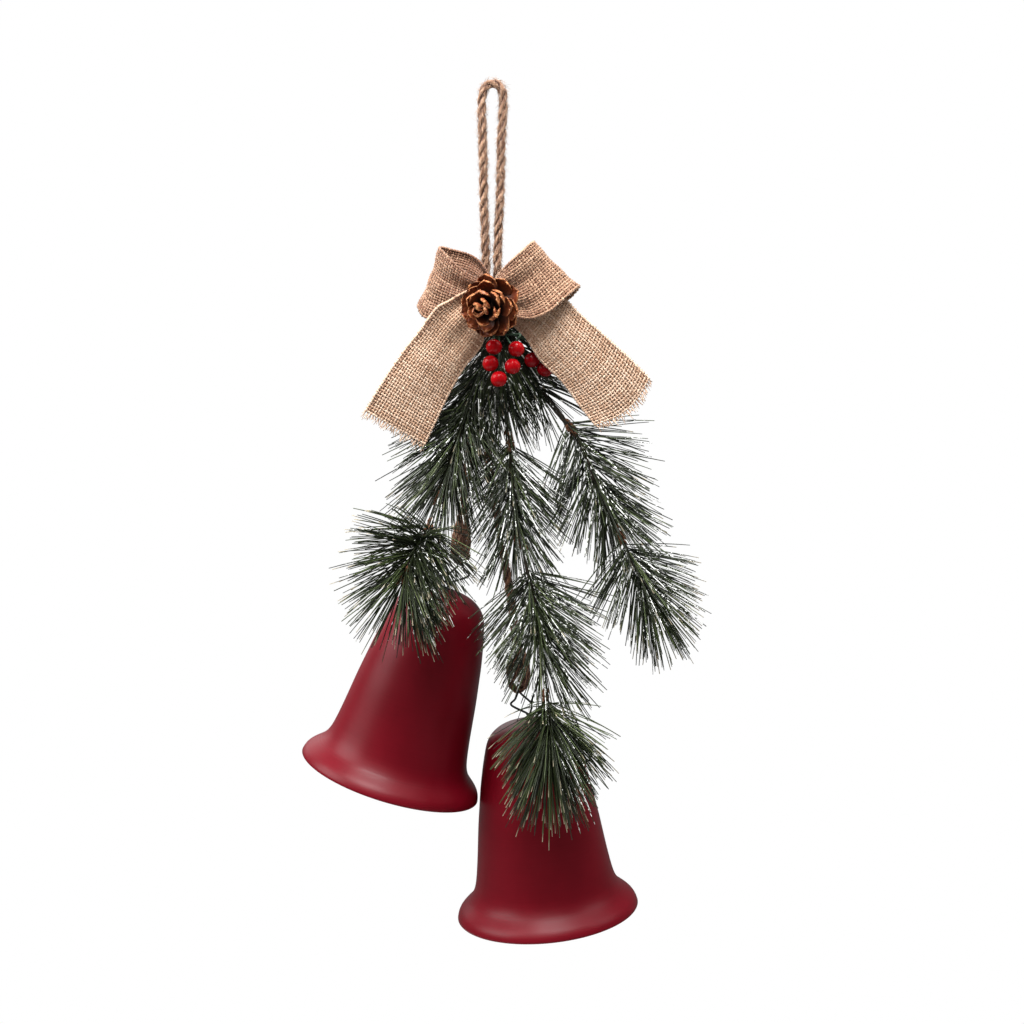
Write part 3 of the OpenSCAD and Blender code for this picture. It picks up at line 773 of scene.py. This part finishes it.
class Ribbon:
    """A ribbon between two edges, with its warp along them and its weft across.

    crown bulges it to the front.  A tail is gathered into pleats at its start and frayed at its
    end, which end_bulge rounds, and a loop is gathered at both ends.  turn is 1 or -1, for the
    side that faces out.  shade darkens it all over and the number after it darkens it towards
    its pleats, both as painted shade."""

    def __init__(self, one_edge, other_edge, crown, seed, shade, pleat_shade, turn=1, tail=False,
                 end_bulge=0.0):
        self.one = smooth(one_edge, 1)
        self.other = smooth(other_edge, 1)
        self.length = (reach(self.one)[-1] + reach(self.other)[-1]) / 2
        self.crown = crown
        self.tail = tail
        self.gather = (0,) if tail else (0, 1)
        self.seed = seed
        self.end_bulge = end_bulge
        self.turn = turn
        self.shade = shade
        self.pleat_shade = pleat_shade
        self.warps = round(RIBBON_W / THREAD_PITCH)
        self.wefts = round(self.length / THREAD_PITCH)

    def at(self, s, w, lift=0.0):
        """Points at shares s of the length and w of the width, lifted off the cloth."""
        s, w, lift = np.broadcast_arrays(*(np.asarray(a, float) for a in (s, w, lift)))
        step = 0.004
        mid = self.place(s, w)
        ahead = self.place(s + step, w) - self.place(s - step, w)
        beside = self.place(s, w + step) - self.place(s, w - step)
        normal = self.turn * unit(np.cross(ahead, beside))
        fold = self.crown * np.sin(math.pi * np.clip(w, 0, 1)) * np.sin(math.pi * np.clip(s, 0, 1))
        fold = fold + 0.5 * wobble(s * self.length, self.seed, 34) * np.cos(TURN * w)
        for end in self.gather:
            near = np.exp(-np.abs(s - end) * self.length / PLEAT_REACH)
            fold = fold + PLEAT_DEPTH * near * np.sin(TURN * 2.5 * w + self.seed)
        return mid + (fold + lift)[..., None] * normal

    def painted_shade(self, s):
        """How much painted shade darkens the cloth: all over, and more towards its gathered ends.
        """
        ends = [np.exp(-np.abs(s - end) * self.length / PLEAT_SHADE_REACH) for end in self.gather]
        return self.shade + self.pleat_shade * sum(ends)

    def place(self, s, w):
        longer = 1 + self.end_bulge * np.sin(math.pi * np.clip(w, 0, 1)) / self.length
        s = s * longer
        sides = []
        for edge in (self.one, self.other):
            share = np.linspace(0, 1, len(edge))
            inside = np.clip(s, 0, 1)
            point = np.stack([np.interp(inside, share, column) for column in edge.T], -1)
            over = (s - inside)[..., None] * self.length
            way = np.where(over < 0, unit(edge[1] - edge[0]), unit(edge[-1] - edge[-3]))
            sides.append(point + over * way)
        return sides[0] + (sides[1] - sides[0]) * np.asarray(w)[..., None]

    def shade_sheet(self, name):
        """The thin sheet that fills the weave, coloured as painted shade for the dark between the
        yarns.
        """
        s = np.linspace(0.004, 0.996, 2 * self.wefts)[:, None]
        w = np.linspace(0.012, 0.988, 40)[None]
        shape = Shape()
        shape.add(*closed_sheet(self.at(s, w, SHADE_SHEET_HALF), self.at(s, w, -SHADE_SHEET_HALF)))
        return shape.build(name, BURLAP_SHADE_SHEET, "root", "burlap")

    def yarn(self, shape, s, w, lift, radius, tone):
        """Yarns along (N, R) tables of s and w."""
        add_tubes(shape, self.at(s, w, lift), radius, 5, tone=np.clip(tone, -0.6, 1))

    def weave(self, name):
        """Warp and weft, over and under each other, and the fringe of a tail."""
        rng = np.random.default_rng(self.seed)
        shape = Shape()
        steps = 2 * self.wefts + 1
        row = np.arange(steps)
        for k in range(self.warps):
            s = np.linspace(0, 1, steps)[None]
            drift = 0.10 * wobble(s * self.length, self.seed + k, 14) / self.warps
            w = (k + 0.5) / self.warps + drift
            lift = WEAVE_LIFT * np.cos(math.pi * (row / 2 + 0.5 + k))[None]
            slub = 1 + 0.20 * wobble(s * self.length, self.seed + 31 * k, 5)
            edge = min(k, self.warps - 1 - k)
            tone = rng.uniform(0.35, 0.75) + 0.15 * wobble(s, self.seed + 3 * k, 0.3)
            # Painted shade darkens the yarns towards the gathers
            tone = tone + SELVEDGE_TONES[min(edge, 3)] - self.painted_shade(s)
            self.yarn(shape, s, w, lift, THREAD_R * slub * (1.2 if edge == 0 else 1), tone)
        columns = 2 * self.warps + 1
        column = np.arange(columns)
        for j in range(self.wefts):
            w = np.linspace(0, 1, columns)[None]
            drift = 0.10 * wobble(w * RIBBON_W, self.seed + 500 + j, 12) / self.wefts
            s = (j + 0.5) / self.wefts + drift
            lift = -WEAVE_LIFT * np.cos(math.pi * (column / 2 + 0.5 + j))[None]
            slub = 1 + 0.24 * wobble(w * RIBBON_W, self.seed + 700 + j, 6)
            tone = rng.uniform(0.35, 0.8) + 0.15 * wobble(w, self.seed + 900 + j, 0.4)
            # Painted shade darkens the yarns towards the gathers
            tone = tone - self.painted_shade(s)
            self.yarn(shape, s, w, lift, THREAD_R * slub, tone)
        pieces = [shape.build(name + "_weave", BURLAP, "root", "burlap")]
        if self.tail:
            pieces.append(self.fringe(name + "_fringe"))
        return pieces

    def fringe(self, name):
        """Warp ends that have lost their weft, splayed and split into thinner fibres."""
        rng = np.random.default_rng(self.seed + 77)
        shape = Shape()
        splits = 4
        count = self.warps * splits
        t = np.linspace(0, 1, 6)[None]
        reach_mm = rng.uniform(1.4, 4.0, (count, 1)) * rng.choice([1, 1, 0.6, 1.35], (count, 1))
        s = 1 + t * reach_mm / self.length
        k = np.repeat(np.arange(self.warps), splits)[:, None]
        splay = rng.normal(scale=0.55, size=(count, 1)) * t**1.5
        w = (k + 0.5 + rng.uniform(-0.22, 0.22, (count, 1)) + splay) / self.warps
        lift = rng.normal(scale=0.9, size=(count, 1)) * t**1.6
        radius = rng.uniform(0.22, 0.38, (count, 1)) * (1 - 0.5 * t)
        self.yarn(shape, s, w, lift, radius, rng.uniform(0.2, 1, (count, 1)))
        return shape.build(name, BURLAP, "root", "burlap")

    def make(self, name, *nodes):
        """The sheet with its yarns, in the place of the CAD nodes named."""
        pieces = self.weave(name)
        # The sheet behind the yarns is painted shade.
        sheet = self.shade_sheet(name)
        if nodes:
            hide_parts(*nodes)


def make_bow():
    # Each ribbon's shade and the number after it set its painted shade: darker all over and near
    # its gathers
    left_loop = Ribbon(
        [(-2.6, -15, -103.4), (-8.7, -18, -100.2), (-15.1, -18, -96.5), (-21.6, -17, -91.1),
         (-26.5, -14, -85.8), (-28.3, -11, -84), (-26.2, -8, -83.5), (-22, -7, -84.7),
         (-13.2, -6, -87.1), (-6.7, -7, -91.4), (-2.3, -9, -98)],
        [(-5, -15, -119), (-14.8, -18, -121.8), (-23.9, -18, -122.8), (-32.4, -16, -122.3),
         (-37.7, -14, -120.6), (-39.9, -11, -116.4), (-39.2, -8, -114.5), (-31.3, -6, -113.9),
         (-20.5, -6, -114.5), (-9.7, -8, -116.1), (-4, -9, -116)],
        crown=0.8, seed=3, turn=-1, shade=0.08, pleat_shade=1.0)
    left_loop.make("bow_left_loop", "bow_loops")
    right_loop = Ribbon(
        [(-0.5, -15, -103.4), (4.3, -17, -95.9), (10.1, -19, -90.3), (15.9, -19, -85.1),
         (20.1, -17, -81.4), (21.6, -14, -80.4), (20.5, -10, -81.5), (15, -7, -86),
         (9, -6.5, -92), (3.5, -8, -99)],
        [(3.7, -15, -118.1), (10.8, -18, -119.5), (15.1, -20, -121.1), (21.6, -22, -121.6),
         (30.2, -22, -117.8), (37.8, -20, -111.5), (43, -17.5, -107.1), (46.2, -14.5, -104.6),
         (45.6, -11, -106.5), (40.8, -9, -111.5), (33.7, -8, -115), (19.8, -8, -117.1),
         (6.4, -9, -116.1)],
        crown=1.5, seed=8, shade=0.07, pleat_shade=0.8)
    right_loop.make("bow_right_loop")
    left_tail = Ribbon(
        [(-10, -19, -105.5), (-17.2, -21, -108.3), (-23.7, -22, -112), (-29.6, -22, -115.2),
         (-34.5, -21, -121.1), (-38.9, -20.5, -127.5), (-47.7, -20, -138.3), (-57.6, -19.5, -152.4),
         (-69, -19, -170.5)],
        [(-3, -18, -117), (-4, -18, -126), (-5.5, -18, -135.1), (-10.4, -18, -142),
         (-15.3, -18, -148.1), (-23, -18, -161.2), (-32.9, -18, -181.9), (-36.3, -18, -189.2)],
        crown=1.6, seed=14, shade=0, pleat_shade=0.6, tail=True)
    left_tail.make("bow_left_tail", "bow_tails")
    right_tail = Ribbon(
        [(7, -12, -106.5), (19.7, -13, -107.6), (30.3, -14, -108.1), (39, -14.5, -111.5),
         (46.6, -15, -119), (59.7, -15, -130.3), (73.4, -15, -142.4), (84, -15, -153)],
        [(1.6, -12, -118.1), (6.4, -13, -121.3), (10.8, -14, -125.5), (17.3, -15, -132),
         (25, -15, -143.9), (37, -15, -155.8), (45.8, -15, -167.9), (54.4, -15, -178.8)],
        crown=1.4, seed=21, turn=-1, shade=-0.04, pleat_shade=0.3, tail=True, end_bulge=5.5)
    right_tail.make("bow_right_tail")


# ---------- cone and berries ----------

# Each whorl: how many scales, their lift in degrees, height, length, width and thickness
CONE_WHORLS = [
    (11, 0, -6.0, 14.4, 11.8, 1.1), (8, 17, -4.0, 13.8, 10.0, 1.0), (6, 33, -1.8, 12.4, 8.8, 0.95),
    (5, 50, 0.6, 10.6, 7.4, 0.85), (4, 64, 2.4, 8.8, 5.6, 0.8), (3, 77, 3.4, 7.4, 4.4, 0.75)]
ROLL_SPREAD = 0.24
LIFT_SPREAD = 7.5


def cone_scale(length, width, thick):
    """One spoon of wood along +X with its cup up: points, faces, edge share, outward share."""
    v = np.linspace(0, 0.992, 18)[:, None]
    u = np.linspace(-1, 1, 19)[None]
    shoulder = 0.62
    widening = 0.38 + 0.62 * ease(0, shoulder, v)
    rounding = np.clip(1 - (np.maximum(v - shoulder, 0) / (1 - shoulder))**2.6, 0, 1)**0.5
    x = length * (v - 0.05 * u**2 * v)
    y = width / 2 * widening * rounding * u
    lip = ease(0.55, 1, v)
    cup = 0.17 * width * u**2 * ease(0.1, 0.9, v)
    ridge = 0.075 * width * np.exp(-(u / 0.3)**2) * ease(0.3, 0.95, v)
    z = cup + ridge + 0.10 * length * lip**2 - 0.05 * width * np.cos(2.5 * math.pi * u) * lip
    body = thick * (0.6 + 0.9 * ease(0.6, 0.95, v)) * (1 - 0.5 * u**4)
    edge = np.maximum(ease(0.74, 0.97, v) + 0 * u, ease(0.78, 1.0, np.abs(u)) * ease(0.2, 0.7, v))
    under = np.stack([x, y, z - body / 2], -1)
    top = np.stack([x, y, z + body / 2], -1)
    return *closed_sheet(under, top), np.tile(edge.ravel(), 2), np.tile((v + 0 * u).ravel(), 2)


def make_cone():
    """Whorls of scales round a core, flat at the base and shut at the tip."""
    rng = np.random.default_rng(41)
    axes = standing_on(CONE_DIR)
    shape = Shape()
    for level, (count, lift, height, length, width, thick) in enumerate(CONE_WHORLS):
        for i in range(count):
            points, faces, edge, out = cone_scale(
                length * rng.normal(1, 0.03), width * rng.normal(1, 0.04), thick)
            x, y, z = points.T
            y, z = turned(y, z, rng.normal(scale=ROLL_SPREAD))
            x, z = turned(x, z, math.radians(lift + rng.normal(scale=LIFT_SPREAD)))
            x = x + 0.8 + 0.25 * (len(CONE_WHORLS) - level)
            x, y = turned(x, y, TURN * i / count + level * GOLDEN + rng.normal(scale=0.10))
            rise = height + (0.7 if i % 2 else 0)
            local = np.stack([x, y, z + rise], -1)
            shape.add(local @ axes + CONE_MID, faces, edge=edge, out=out)
    stand_in(shape, "cone_scale_whorls", CONE, "root", "cone_scale", "cone_scales")
    heart = Shape()
    add_ball(heart, CONE_MID - 2.5 * unit(CONE_DIR), np.array([3.0, 3.0, 8.0]), 14, 20, CONE_DIR)
    stand_in(heart, "cone_heart", CONE_CORE, "root", "cone_core", "cone_core")


def make_berries():
    """Lacquered berries, each a little out of round, with a dry bud at its foot."""
    rng = np.random.default_rng(5)
    shape = Shape()
    for ripe, place in zip(BERRY_SHADE, np.array(BERRY_PLACES)):
        way = unit(np.array([rng.normal(scale=0.25), -0.35, -1.0]))
        radii = BERRY_R * np.array([1, 1, 0.97]) * rng.uniform(0.98, 1.0)
        add_ball(shape, place, radii, 30, 44, way, bud=0, ripe=ripe)
        foot = place + way * BERRY_R * 0.94
        add_ball(shape, foot, np.array([0.55, 0.55, 0.4]), 10, 14, way, bud=1, ripe=0)
    stand_in(shape, "berry_balls", BERRY, "root", "berry", "berries")


def make_berry_wires():
    """Wrapped wires from the binding into the back of each berry."""
    shape = Shape()
    root = np.array([3, -8.5, -126])
    for place in np.array(BERRY_PLACES):
        lean = place[0] - root[0]
        start = root + [0.12 * lean, 0, 0]
        end = place + [0, 0.64 * BERRY_R, 0.72 * BERRY_R]
        route = [start, start + [0.3 * lean, -2, -4], end + [0.2 * lean, 1.5, 4.5],
                 end + [0, 0.5, 1.2], end]
        add_tube(shape, smooth(route, 0.8), 0.5, 8)
    stand_in(shape, "berry_wires", BERRY_WIRE, "root", "berry_stem", "berry_stems")


# ---------- sprigs ----------

def make_stem(name, route, buds, seed):
    """A tapering wrapped stem with rings of small bud scales where a sprig starts."""
    path = smooth(route, 1.0)
    along = reach(path)
    taper = 1.6 - 0.8 * along / along[-1]
    knots = 1 + 0.10 * wobble(along, seed, 7) + 0.06 * wobble(along, seed + 1, 2.5)
    shape = Shape()
    add_tube(shape, path, taper * knots, bud=0)
    rng = np.random.default_rng(seed)
    t, u, v = (a[0] for a in frames(path[None]))
    for level in buds:
        mid = int(np.argmin(np.abs(path[:, 2] - level)))
        count = 26
        at = np.clip(mid + rng.integers(-5, 6, count), 1, len(path) - 2)
        angle = rng.uniform(0, TURN, count)[:, None]
        out = np.cos(angle) * u[at] + np.sin(angle) * v[at]
        roots = path[at] + 0.8 * taper[at][:, None] * out
        ways = 0.55 * out + t[at]
        steps = np.linspace(0, 1, 5)[None, :, None]
        paths = roots[:, None] + rng.uniform(2.2, 4, (count, 1, 1)) * steps * unit(ways)[:, None]
        leaf = np.array([0.5, 0.75, 0.7, 0.45, 0.12])[None] * rng.uniform(0.8, 1.2, (count, 1))
        add_tubes(shape, paths, leaf, 5, bud=1)
    stand_in(shape, name + "_bark", STEM, "root", "stem", name)


def grow(shape, route, top, bottom, count, length, wide, tight, frost, seed, green,
         back_y=NEEDLE_BACK_Y, droop=0.12, squeeze=0.6, side=0.0, tips=0.1, front=None, thin=None):
    """Needles along a stem, in pairs, between two heights.

    wide and tight are their angles to the stem at the two ends, in degrees.  frost is how
    much of them is flocked, green how light they are and tips how many end pale.  back_y is
    the plane that they stay in front of, droop bends them down, squeeze flattens the tuft
    front to back, and side leans it along +X.  front is a place (y, z) that they stay behind,
    where they are higher.  thin is a place (x, z, radius) that most of them miss, seen from
    the front."""
    rng = np.random.default_rng(seed)
    path = smooth(route, 1.0)
    levels = path[:, 2]
    first, last = (int(np.argmin(np.abs(levels - level))) for level in (top, bottom))
    t, u, v = (a[0] for a in frames(path[None]))
    total = 2 * count
    share = np.repeat(np.sort(rng.uniform(0, 1, count)), 2)
    at = np.rint(first + share * (last - first)).astype(int)
    spin = np.repeat(np.arange(count) * GOLDEN + rng.normal(scale=0.25, size=count), 2)
    spin = spin + rng.normal(scale=0.14, size=total)
    angle = np.radians(wide + (tight - wide) * share**1.2) + rng.normal(scale=0.085, size=total)
    angle = np.clip(angle, 0.03, 1.5)[:, None]
    out = np.cos(spin)[:, None] * u[at] + np.sin(spin)[:, None] * v[at]
    out[:, 1] *= squeeze
    out[:, 0] += side
    out = unit(out)
    behind = out[:, 1] > 0
    room = np.clip((back_y - path[at, 1]) / length, -0.4, 1)
    out[behind, 1] = np.minimum(out[behind, 1], room[behind])
    way = unit(np.cos(angle) * t[at] + np.sin(angle) * out)
    size = length * rng.normal(1, 0.09, (total, 1))
    rings = 9
    pull = unit(t[at] + np.array([0, 0, -1.0]) + rng.normal(scale=0.5, size=(total, 3)))
    points = [path[at] + 0.4 * out]
    for i in range(rings - 1):
        way_here = unit(way + droop * (i / (rings - 1)) * pull)
        points.append(points[-1] + size / (rings - 1) * way_here)
    paths = np.stack(points, 1)
    wall = back_y - rng.uniform(0.2, 3.0, (total, 1))
    deep = paths[:, :, 1] - wall
    paths[:, :, 1] = np.where(deep > 0, wall + 1.5 * np.tanh(0.1 * deep), paths[:, :, 1])
    paths[:, :, 1] = np.minimum(paths[:, :, 1], back_y)
    if front:
        wall = front[0] - 0.9 * np.maximum(front[1] - paths[:, :, 2], 0)
        paths[:, :, 1] = np.maximum(paths[:, :, 1], wall + rng.uniform(0, 1.5, (total, 1)))
    s = np.linspace(0, 1, rings)[None]
    width = rng.uniform(0.24, 0.36, (total, 1)) * np.minimum(1, 0.6 + 4 * s) * (1 - 0.38 * s**3)
    coat = frost + rng.normal(0, 0.22, (total, 1))
    coat = coat + 0.3 * wobble(s * size + rng.uniform(0, 900, (total, 1)), seed, 11)
    shade = np.clip(rng.normal(green, 0.27, (total, 1)), 0, 1)
    tip = ease(0.9, 1.0, s) * (rng.uniform(0, 1, (total, 1)) < tips)
    if thin:
        x, z, radius = thin
        apart = np.hypot(paths[:, :, 0] - x, paths[:, :, 2] - z).min(1)
        kept = (apart > radius) | (rng.uniform(0, 1, total) < 0.2)
        paths, width, coat, shade, tip = (a[kept] for a in (paths, width, coat, shade, tip))
    add_tubes(shape, paths, width, 4, frost=coat, tone=shade, tip=tip)


CROWN_ROUTE = [(6, -9, -117), (6, -9.5, -127), (5, -10, -142), (4.5, -10, -152)]
SPRAY_ROUTE = [(4, -3, -121), (9, -3, -128), (15, -3, -136), (22, -2, -146)]
LEFT_TIP_ROUTE = LEFT_STEM_ROUTE[:-1] + [(-47.5, -38, -261), (-47.5, -40, -270)]
MIDDLE_TIP_ROUTE = MIDDLE_STEM_ROUTE + [(30, -39.5, -348), (29, -40, -357)]

# The two ribbon tails that top needles stay behind, and the knots that needles leave free
BEHIND_LEFT_TAIL = (-15.5, -184)
BEHIND_RIGHT_TAIL = (-9, -172)
LEFT_KNOT_HIGH = (-16.5, -247, 8.5)
LEFT_KNOT_LOW = (-17, -255, 7)
RIGHT_KNOT = (11.5, -329, 10.5)

# Tufts as runs of needles: the stem, the heights where the run starts and ends, its pairs of
# needles, their length, their angles to the stem at both ends, their frost, the seed and the rest
TUFTS = {
    "top": [
        (CROWN_ROUTE, -118, -150, 120, 33, 46, 20, 0.12, 100,
         dict(green=0.18, back_y=-4, front=BEHIND_RIGHT_TAIL)),
        (SPRAY_ROUTE, -122, -145, 60, 26, 46, 30, -0.2, 104, dict(green=0.12, front=(-5, -172))),
        (LEFT_STEM_ROUTE, -141, -166, 100, 38, 44, 30, 0.1, 101,
         dict(green=0.22, front=BEHIND_LEFT_TAIL)),
        (MIDDLE_STEM_ROUTE, -140, -160, 60, 37, 36, 20, 0.3, 102,
         dict(green=0.25, front=BEHIND_RIGHT_TAIL)),
        (RIGHT_STEM_ROUTE, -141, -160, 60, 34, 38, 28, 0.1, 103,
         dict(green=0.22, front=(-5, -172)))],
    "left_upper": [
        (LEFT_STEM_ROUTE, -166, -209, 180, 41, 56, 24, 0.08, 111,
         dict(green=0.3, squeeze=0.75, front=BEHIND_LEFT_TAIL, thin=LEFT_KNOT_HIGH))],
    "left_tip": [
        (LEFT_TIP_ROUTE, -231, -260, 195, 39, 70, 28, -0.1, 112,
         dict(green=0.32, side=0.2, tips=0.3, back_y=BELL_FRONT_Y)),
        (LEFT_TIP_ROUTE, -234, -262, 80, 38, 52, 34, 0.1, 113,
         dict(green=0.36, side=1.3, tips=0.3, droop=0.2, back_y=BELL_FRONT_Y,
              thin=LEFT_KNOT_LOW))],
    "middle_upper": [
        (MIDDLE_STEM_ROUTE, -189, -236, 165, 38, 54, 30, 0.2, 121, dict(green=0.3, squeeze=0.75))],
    "middle_lower": [
        (MIDDLE_STEM_ROUTE, -256, -306, 215, 41, 60, 26, 0.18, 122,
         dict(green=0.36, squeeze=0.75, thin=RIGHT_KNOT))],
    "middle_tip": [
        (MIDDLE_TIP_ROUTE, -326, -357, 178, 39, 58, 13, -0.5, 123,
         dict(green=0.39, side=-0.24, tips=0.4, droop=0.25, back_y=BELL_FRONT_Y)),
        (MIDDLE_TIP_ROUTE, -328, -350, 60, 42, 46, 26, 0.1, 124,
         dict(green=0.3, side=1.1, tips=0.2, droop=0.35, back_y=BELL_FRONT_Y))],
    "right_upper": [
        (RIGHT_STEM_ROUTE, -178, -229, 170, 39, 60, 28, 0.14, 131,
         dict(green=0.3, squeeze=0.75, front=(-13.5, -180)))],
    "right_tip": [
        (RIGHT_STEM_ROUTE, -241, -275, 150, 37, 64, 12, 0.24, 132,
         dict(green=0.36, tips=0.3, droop=0.18))]}


def make_needles():
    for name, runs in TUFTS.items():
        shape = Shape()
        for *run, more in runs:
            grow(shape, *run, **more)
        stand_in(shape, name + "_tuft", NEEDLES, "root", "needles", name + "_needles")


# ---------- light and surroundings ----------

LIGHT_AIM = (0, 0, -0.25)
ROOM_LIGHT = 0.22
WHITE = (1, 1, 1, 1)
FLOOR_Z = -1100
FLOOR_R = 1180

def area_light(name, place, size, power):
    """A soft box that faces the ornament; its place and size are in metres, its power in watts."""
    lamp = bpy.data.lights.new(name, "AREA")
    lamp.shape = "RECTANGLE"
    lamp.size, lamp.size_y = size
    lamp.energy = power
    box = bpy.data.objects.new(name, lamp)
    box.location = place
    x, y, z = np.array(LIGHT_AIM) - place
    box.rotation_euler = (math.atan2(math.hypot(x, y), -z), 0, math.atan2(-x, y))
    bpy.context.scene.collection.objects.link(box)


def make_light():
    area_light("key_light", (-1.7, -0.3, 0.95), (1.5, 1.5), 62)
    area_light("fill_light", (1.35, -0.15, 1.15), (1.2, 1.2), 14)
    area_light("top_light", (-0.03, -0.45, 1.15), (0.8, 0.6), 54)
    area_light("high_light", (-0.4, -1.7, 1.5), (1.8, 1.2), 16)
    area_light("back_light", (-0.6, 1.5, 0.4), (1.6, 1.2), 9)
    world = bpy.data.worlds.new("studio")
    bpy.context.scene.world = world
    world.use_nodes = True
    nodes, links = world.node_tree.nodes, world.node_tree.links
    seen = nodes.new("ShaderNodeLightPath").outputs["Is Camera Ray"]
    room = nodes["Background"]
    room.inputs["Strength"].default_value = ROOM_LIGHT
    room.inputs["Color"].default_value = WHITE
    paper = nodes.new("ShaderNodeBackground")
    paper.inputs["Color"].default_value = WHITE
    either = nodes.new("ShaderNodeMixShader")
    for output, socket in zip((seen, room.outputs[0], paper.outputs[0]), either.inputs):
        links.new(output, socket)
    links.new(either.outputs[0], nodes["World Output"].inputs[0])
    bpy.context.scene.view_settings.view_transform = "Standard"


def make_floor():
    """A round pale floor well under the ornament."""
    sides = 96
    angle = np.arange(sides) * TURN / sides
    ring = np.stack([FLOOR_R * np.cos(angle), FLOOR_R * np.sin(angle), 0 * angle + FLOOR_Z], -1)
    shape = Shape()
    shape.add(ring, [np.arange(sides)[None]])
    shape.build("floor", FLOOR, None, None, flat=True)


# ---------- the ornament ----------

def dress(finish, *nodes):
    """Puts a finish on CAD nodes whose shape stays."""
    for name in nodes:
        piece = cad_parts[name]
        piece.data.materials.clear()
        piece.data.materials.append(finish)


# The first colour of each jute is the painted shade in its grooves
JUTE = jute("jute_cord", (0.07, 0.022, 0.010), (0.16, 0.065, 0.030), (0.40, 0.225, 0.13),
            (0.66, 0.45, 0.31))
BROWN_JUTE = jute("brown_jute_cord", (0.05, 0.016, 0.008), (0.12, 0.042, 0.019),
                  (0.28, 0.115, 0.058), (0.50, 0.29, 0.165))
BELL = bell_paint()
BURLAP = burlap()
BURLAP_SHADE_SHEET = burlap_shade_sheet()
NEEDLES = needle_paint()
STEM = stem_paint()
CONE = cone_paint()
BERRY = berry_paint()
BERRY_WIRE = plain("berry_stem", (0.008, 0.025, 0.012), (0.02, 0.055, 0.025), 0.6, 0.15,
                   roughness=0.7)
BLACK_WIRE = plain("black_wire", (0.010, 0.010, 0.011), (0.03, 0.03, 0.032), 0.8, 0.05,
                   roughness=0.35, metallic=0.6)
TIE_WIRE = plain("florist_wire", (0.02, 0.03, 0.015), (0.05, 0.07, 0.03), 0.8, 0.05, roughness=0.45)
STEEL = plain("steel", (0.35, 0.35, 0.34), (0.52, 0.52, 0.50), 0.4, 0.03, roughness=0.32,
              metallic=1.0)
GLUE = plain("glue", (0.55, 0.47, 0.28), (0.75, 0.68, 0.46), 0.3, 0.3, roughness=0.25)
CONE_CORE = plain("cone_core", (0.02, 0.009, 0.006), (0.06, 0.022, 0.012), 0.5, 0.4, roughness=0.8)
FLOOR = plain("floor", (0.78, 0.78, 0.77), (0.82, 0.82, 0.81), 0.004, 0.05, roughness=0.9)

make_camera()
make_cord("hanging_rope", LOOP_ROUTE, "root", 11, 700, JUTE, "hanging_loop")
for side, its in BELL_SETS.items():
    cord = side + "_cord"
    knot = make_knot(cord, its["eye"], its["eye_r"], its["knot_seed"], its["husks"])
    make_cord(side + "_bell_rope", its["route"], cord, its["seed"], its["fuzz"], BROWN_JUTE, cord)
for side, its in BELL_SETS.items():
    make_bell(side + "_bell", its["mouth"], its["lean"])
    make_hanger(side, its["eye"], its["mouth"], its["lean"], its["out"])
make_bow()
make_cone()
make_berries()
make_berry_wires()
make_stem("left_stem", LEFT_STEM_ROUTE, [-214, -232, -256], 81)
make_stem("middle_stem", MIDDLE_STEM_ROUTE, [-186, -240, -324], 82)
make_stem("right_stem", RIGHT_STEM_ROUTE, [-181, -238], 83)
make_needles()

dress(tape_paint(), "floral_tape")
dress(TIE_WIRE, "binding_wire", "bow_tie_wire")
dress(GLUE, "bow_glue_pad", "cone_glue_pad")
dress(BLACK_WIRE, "left_bead", "right_bead", "left_clapper_wire", "right_clapper_wire")
dress(STEEL, "left_crown_washer", "right_crown_washer", "left_clapper_ball", "right_clapper_ball")

make_floor()
make_light()
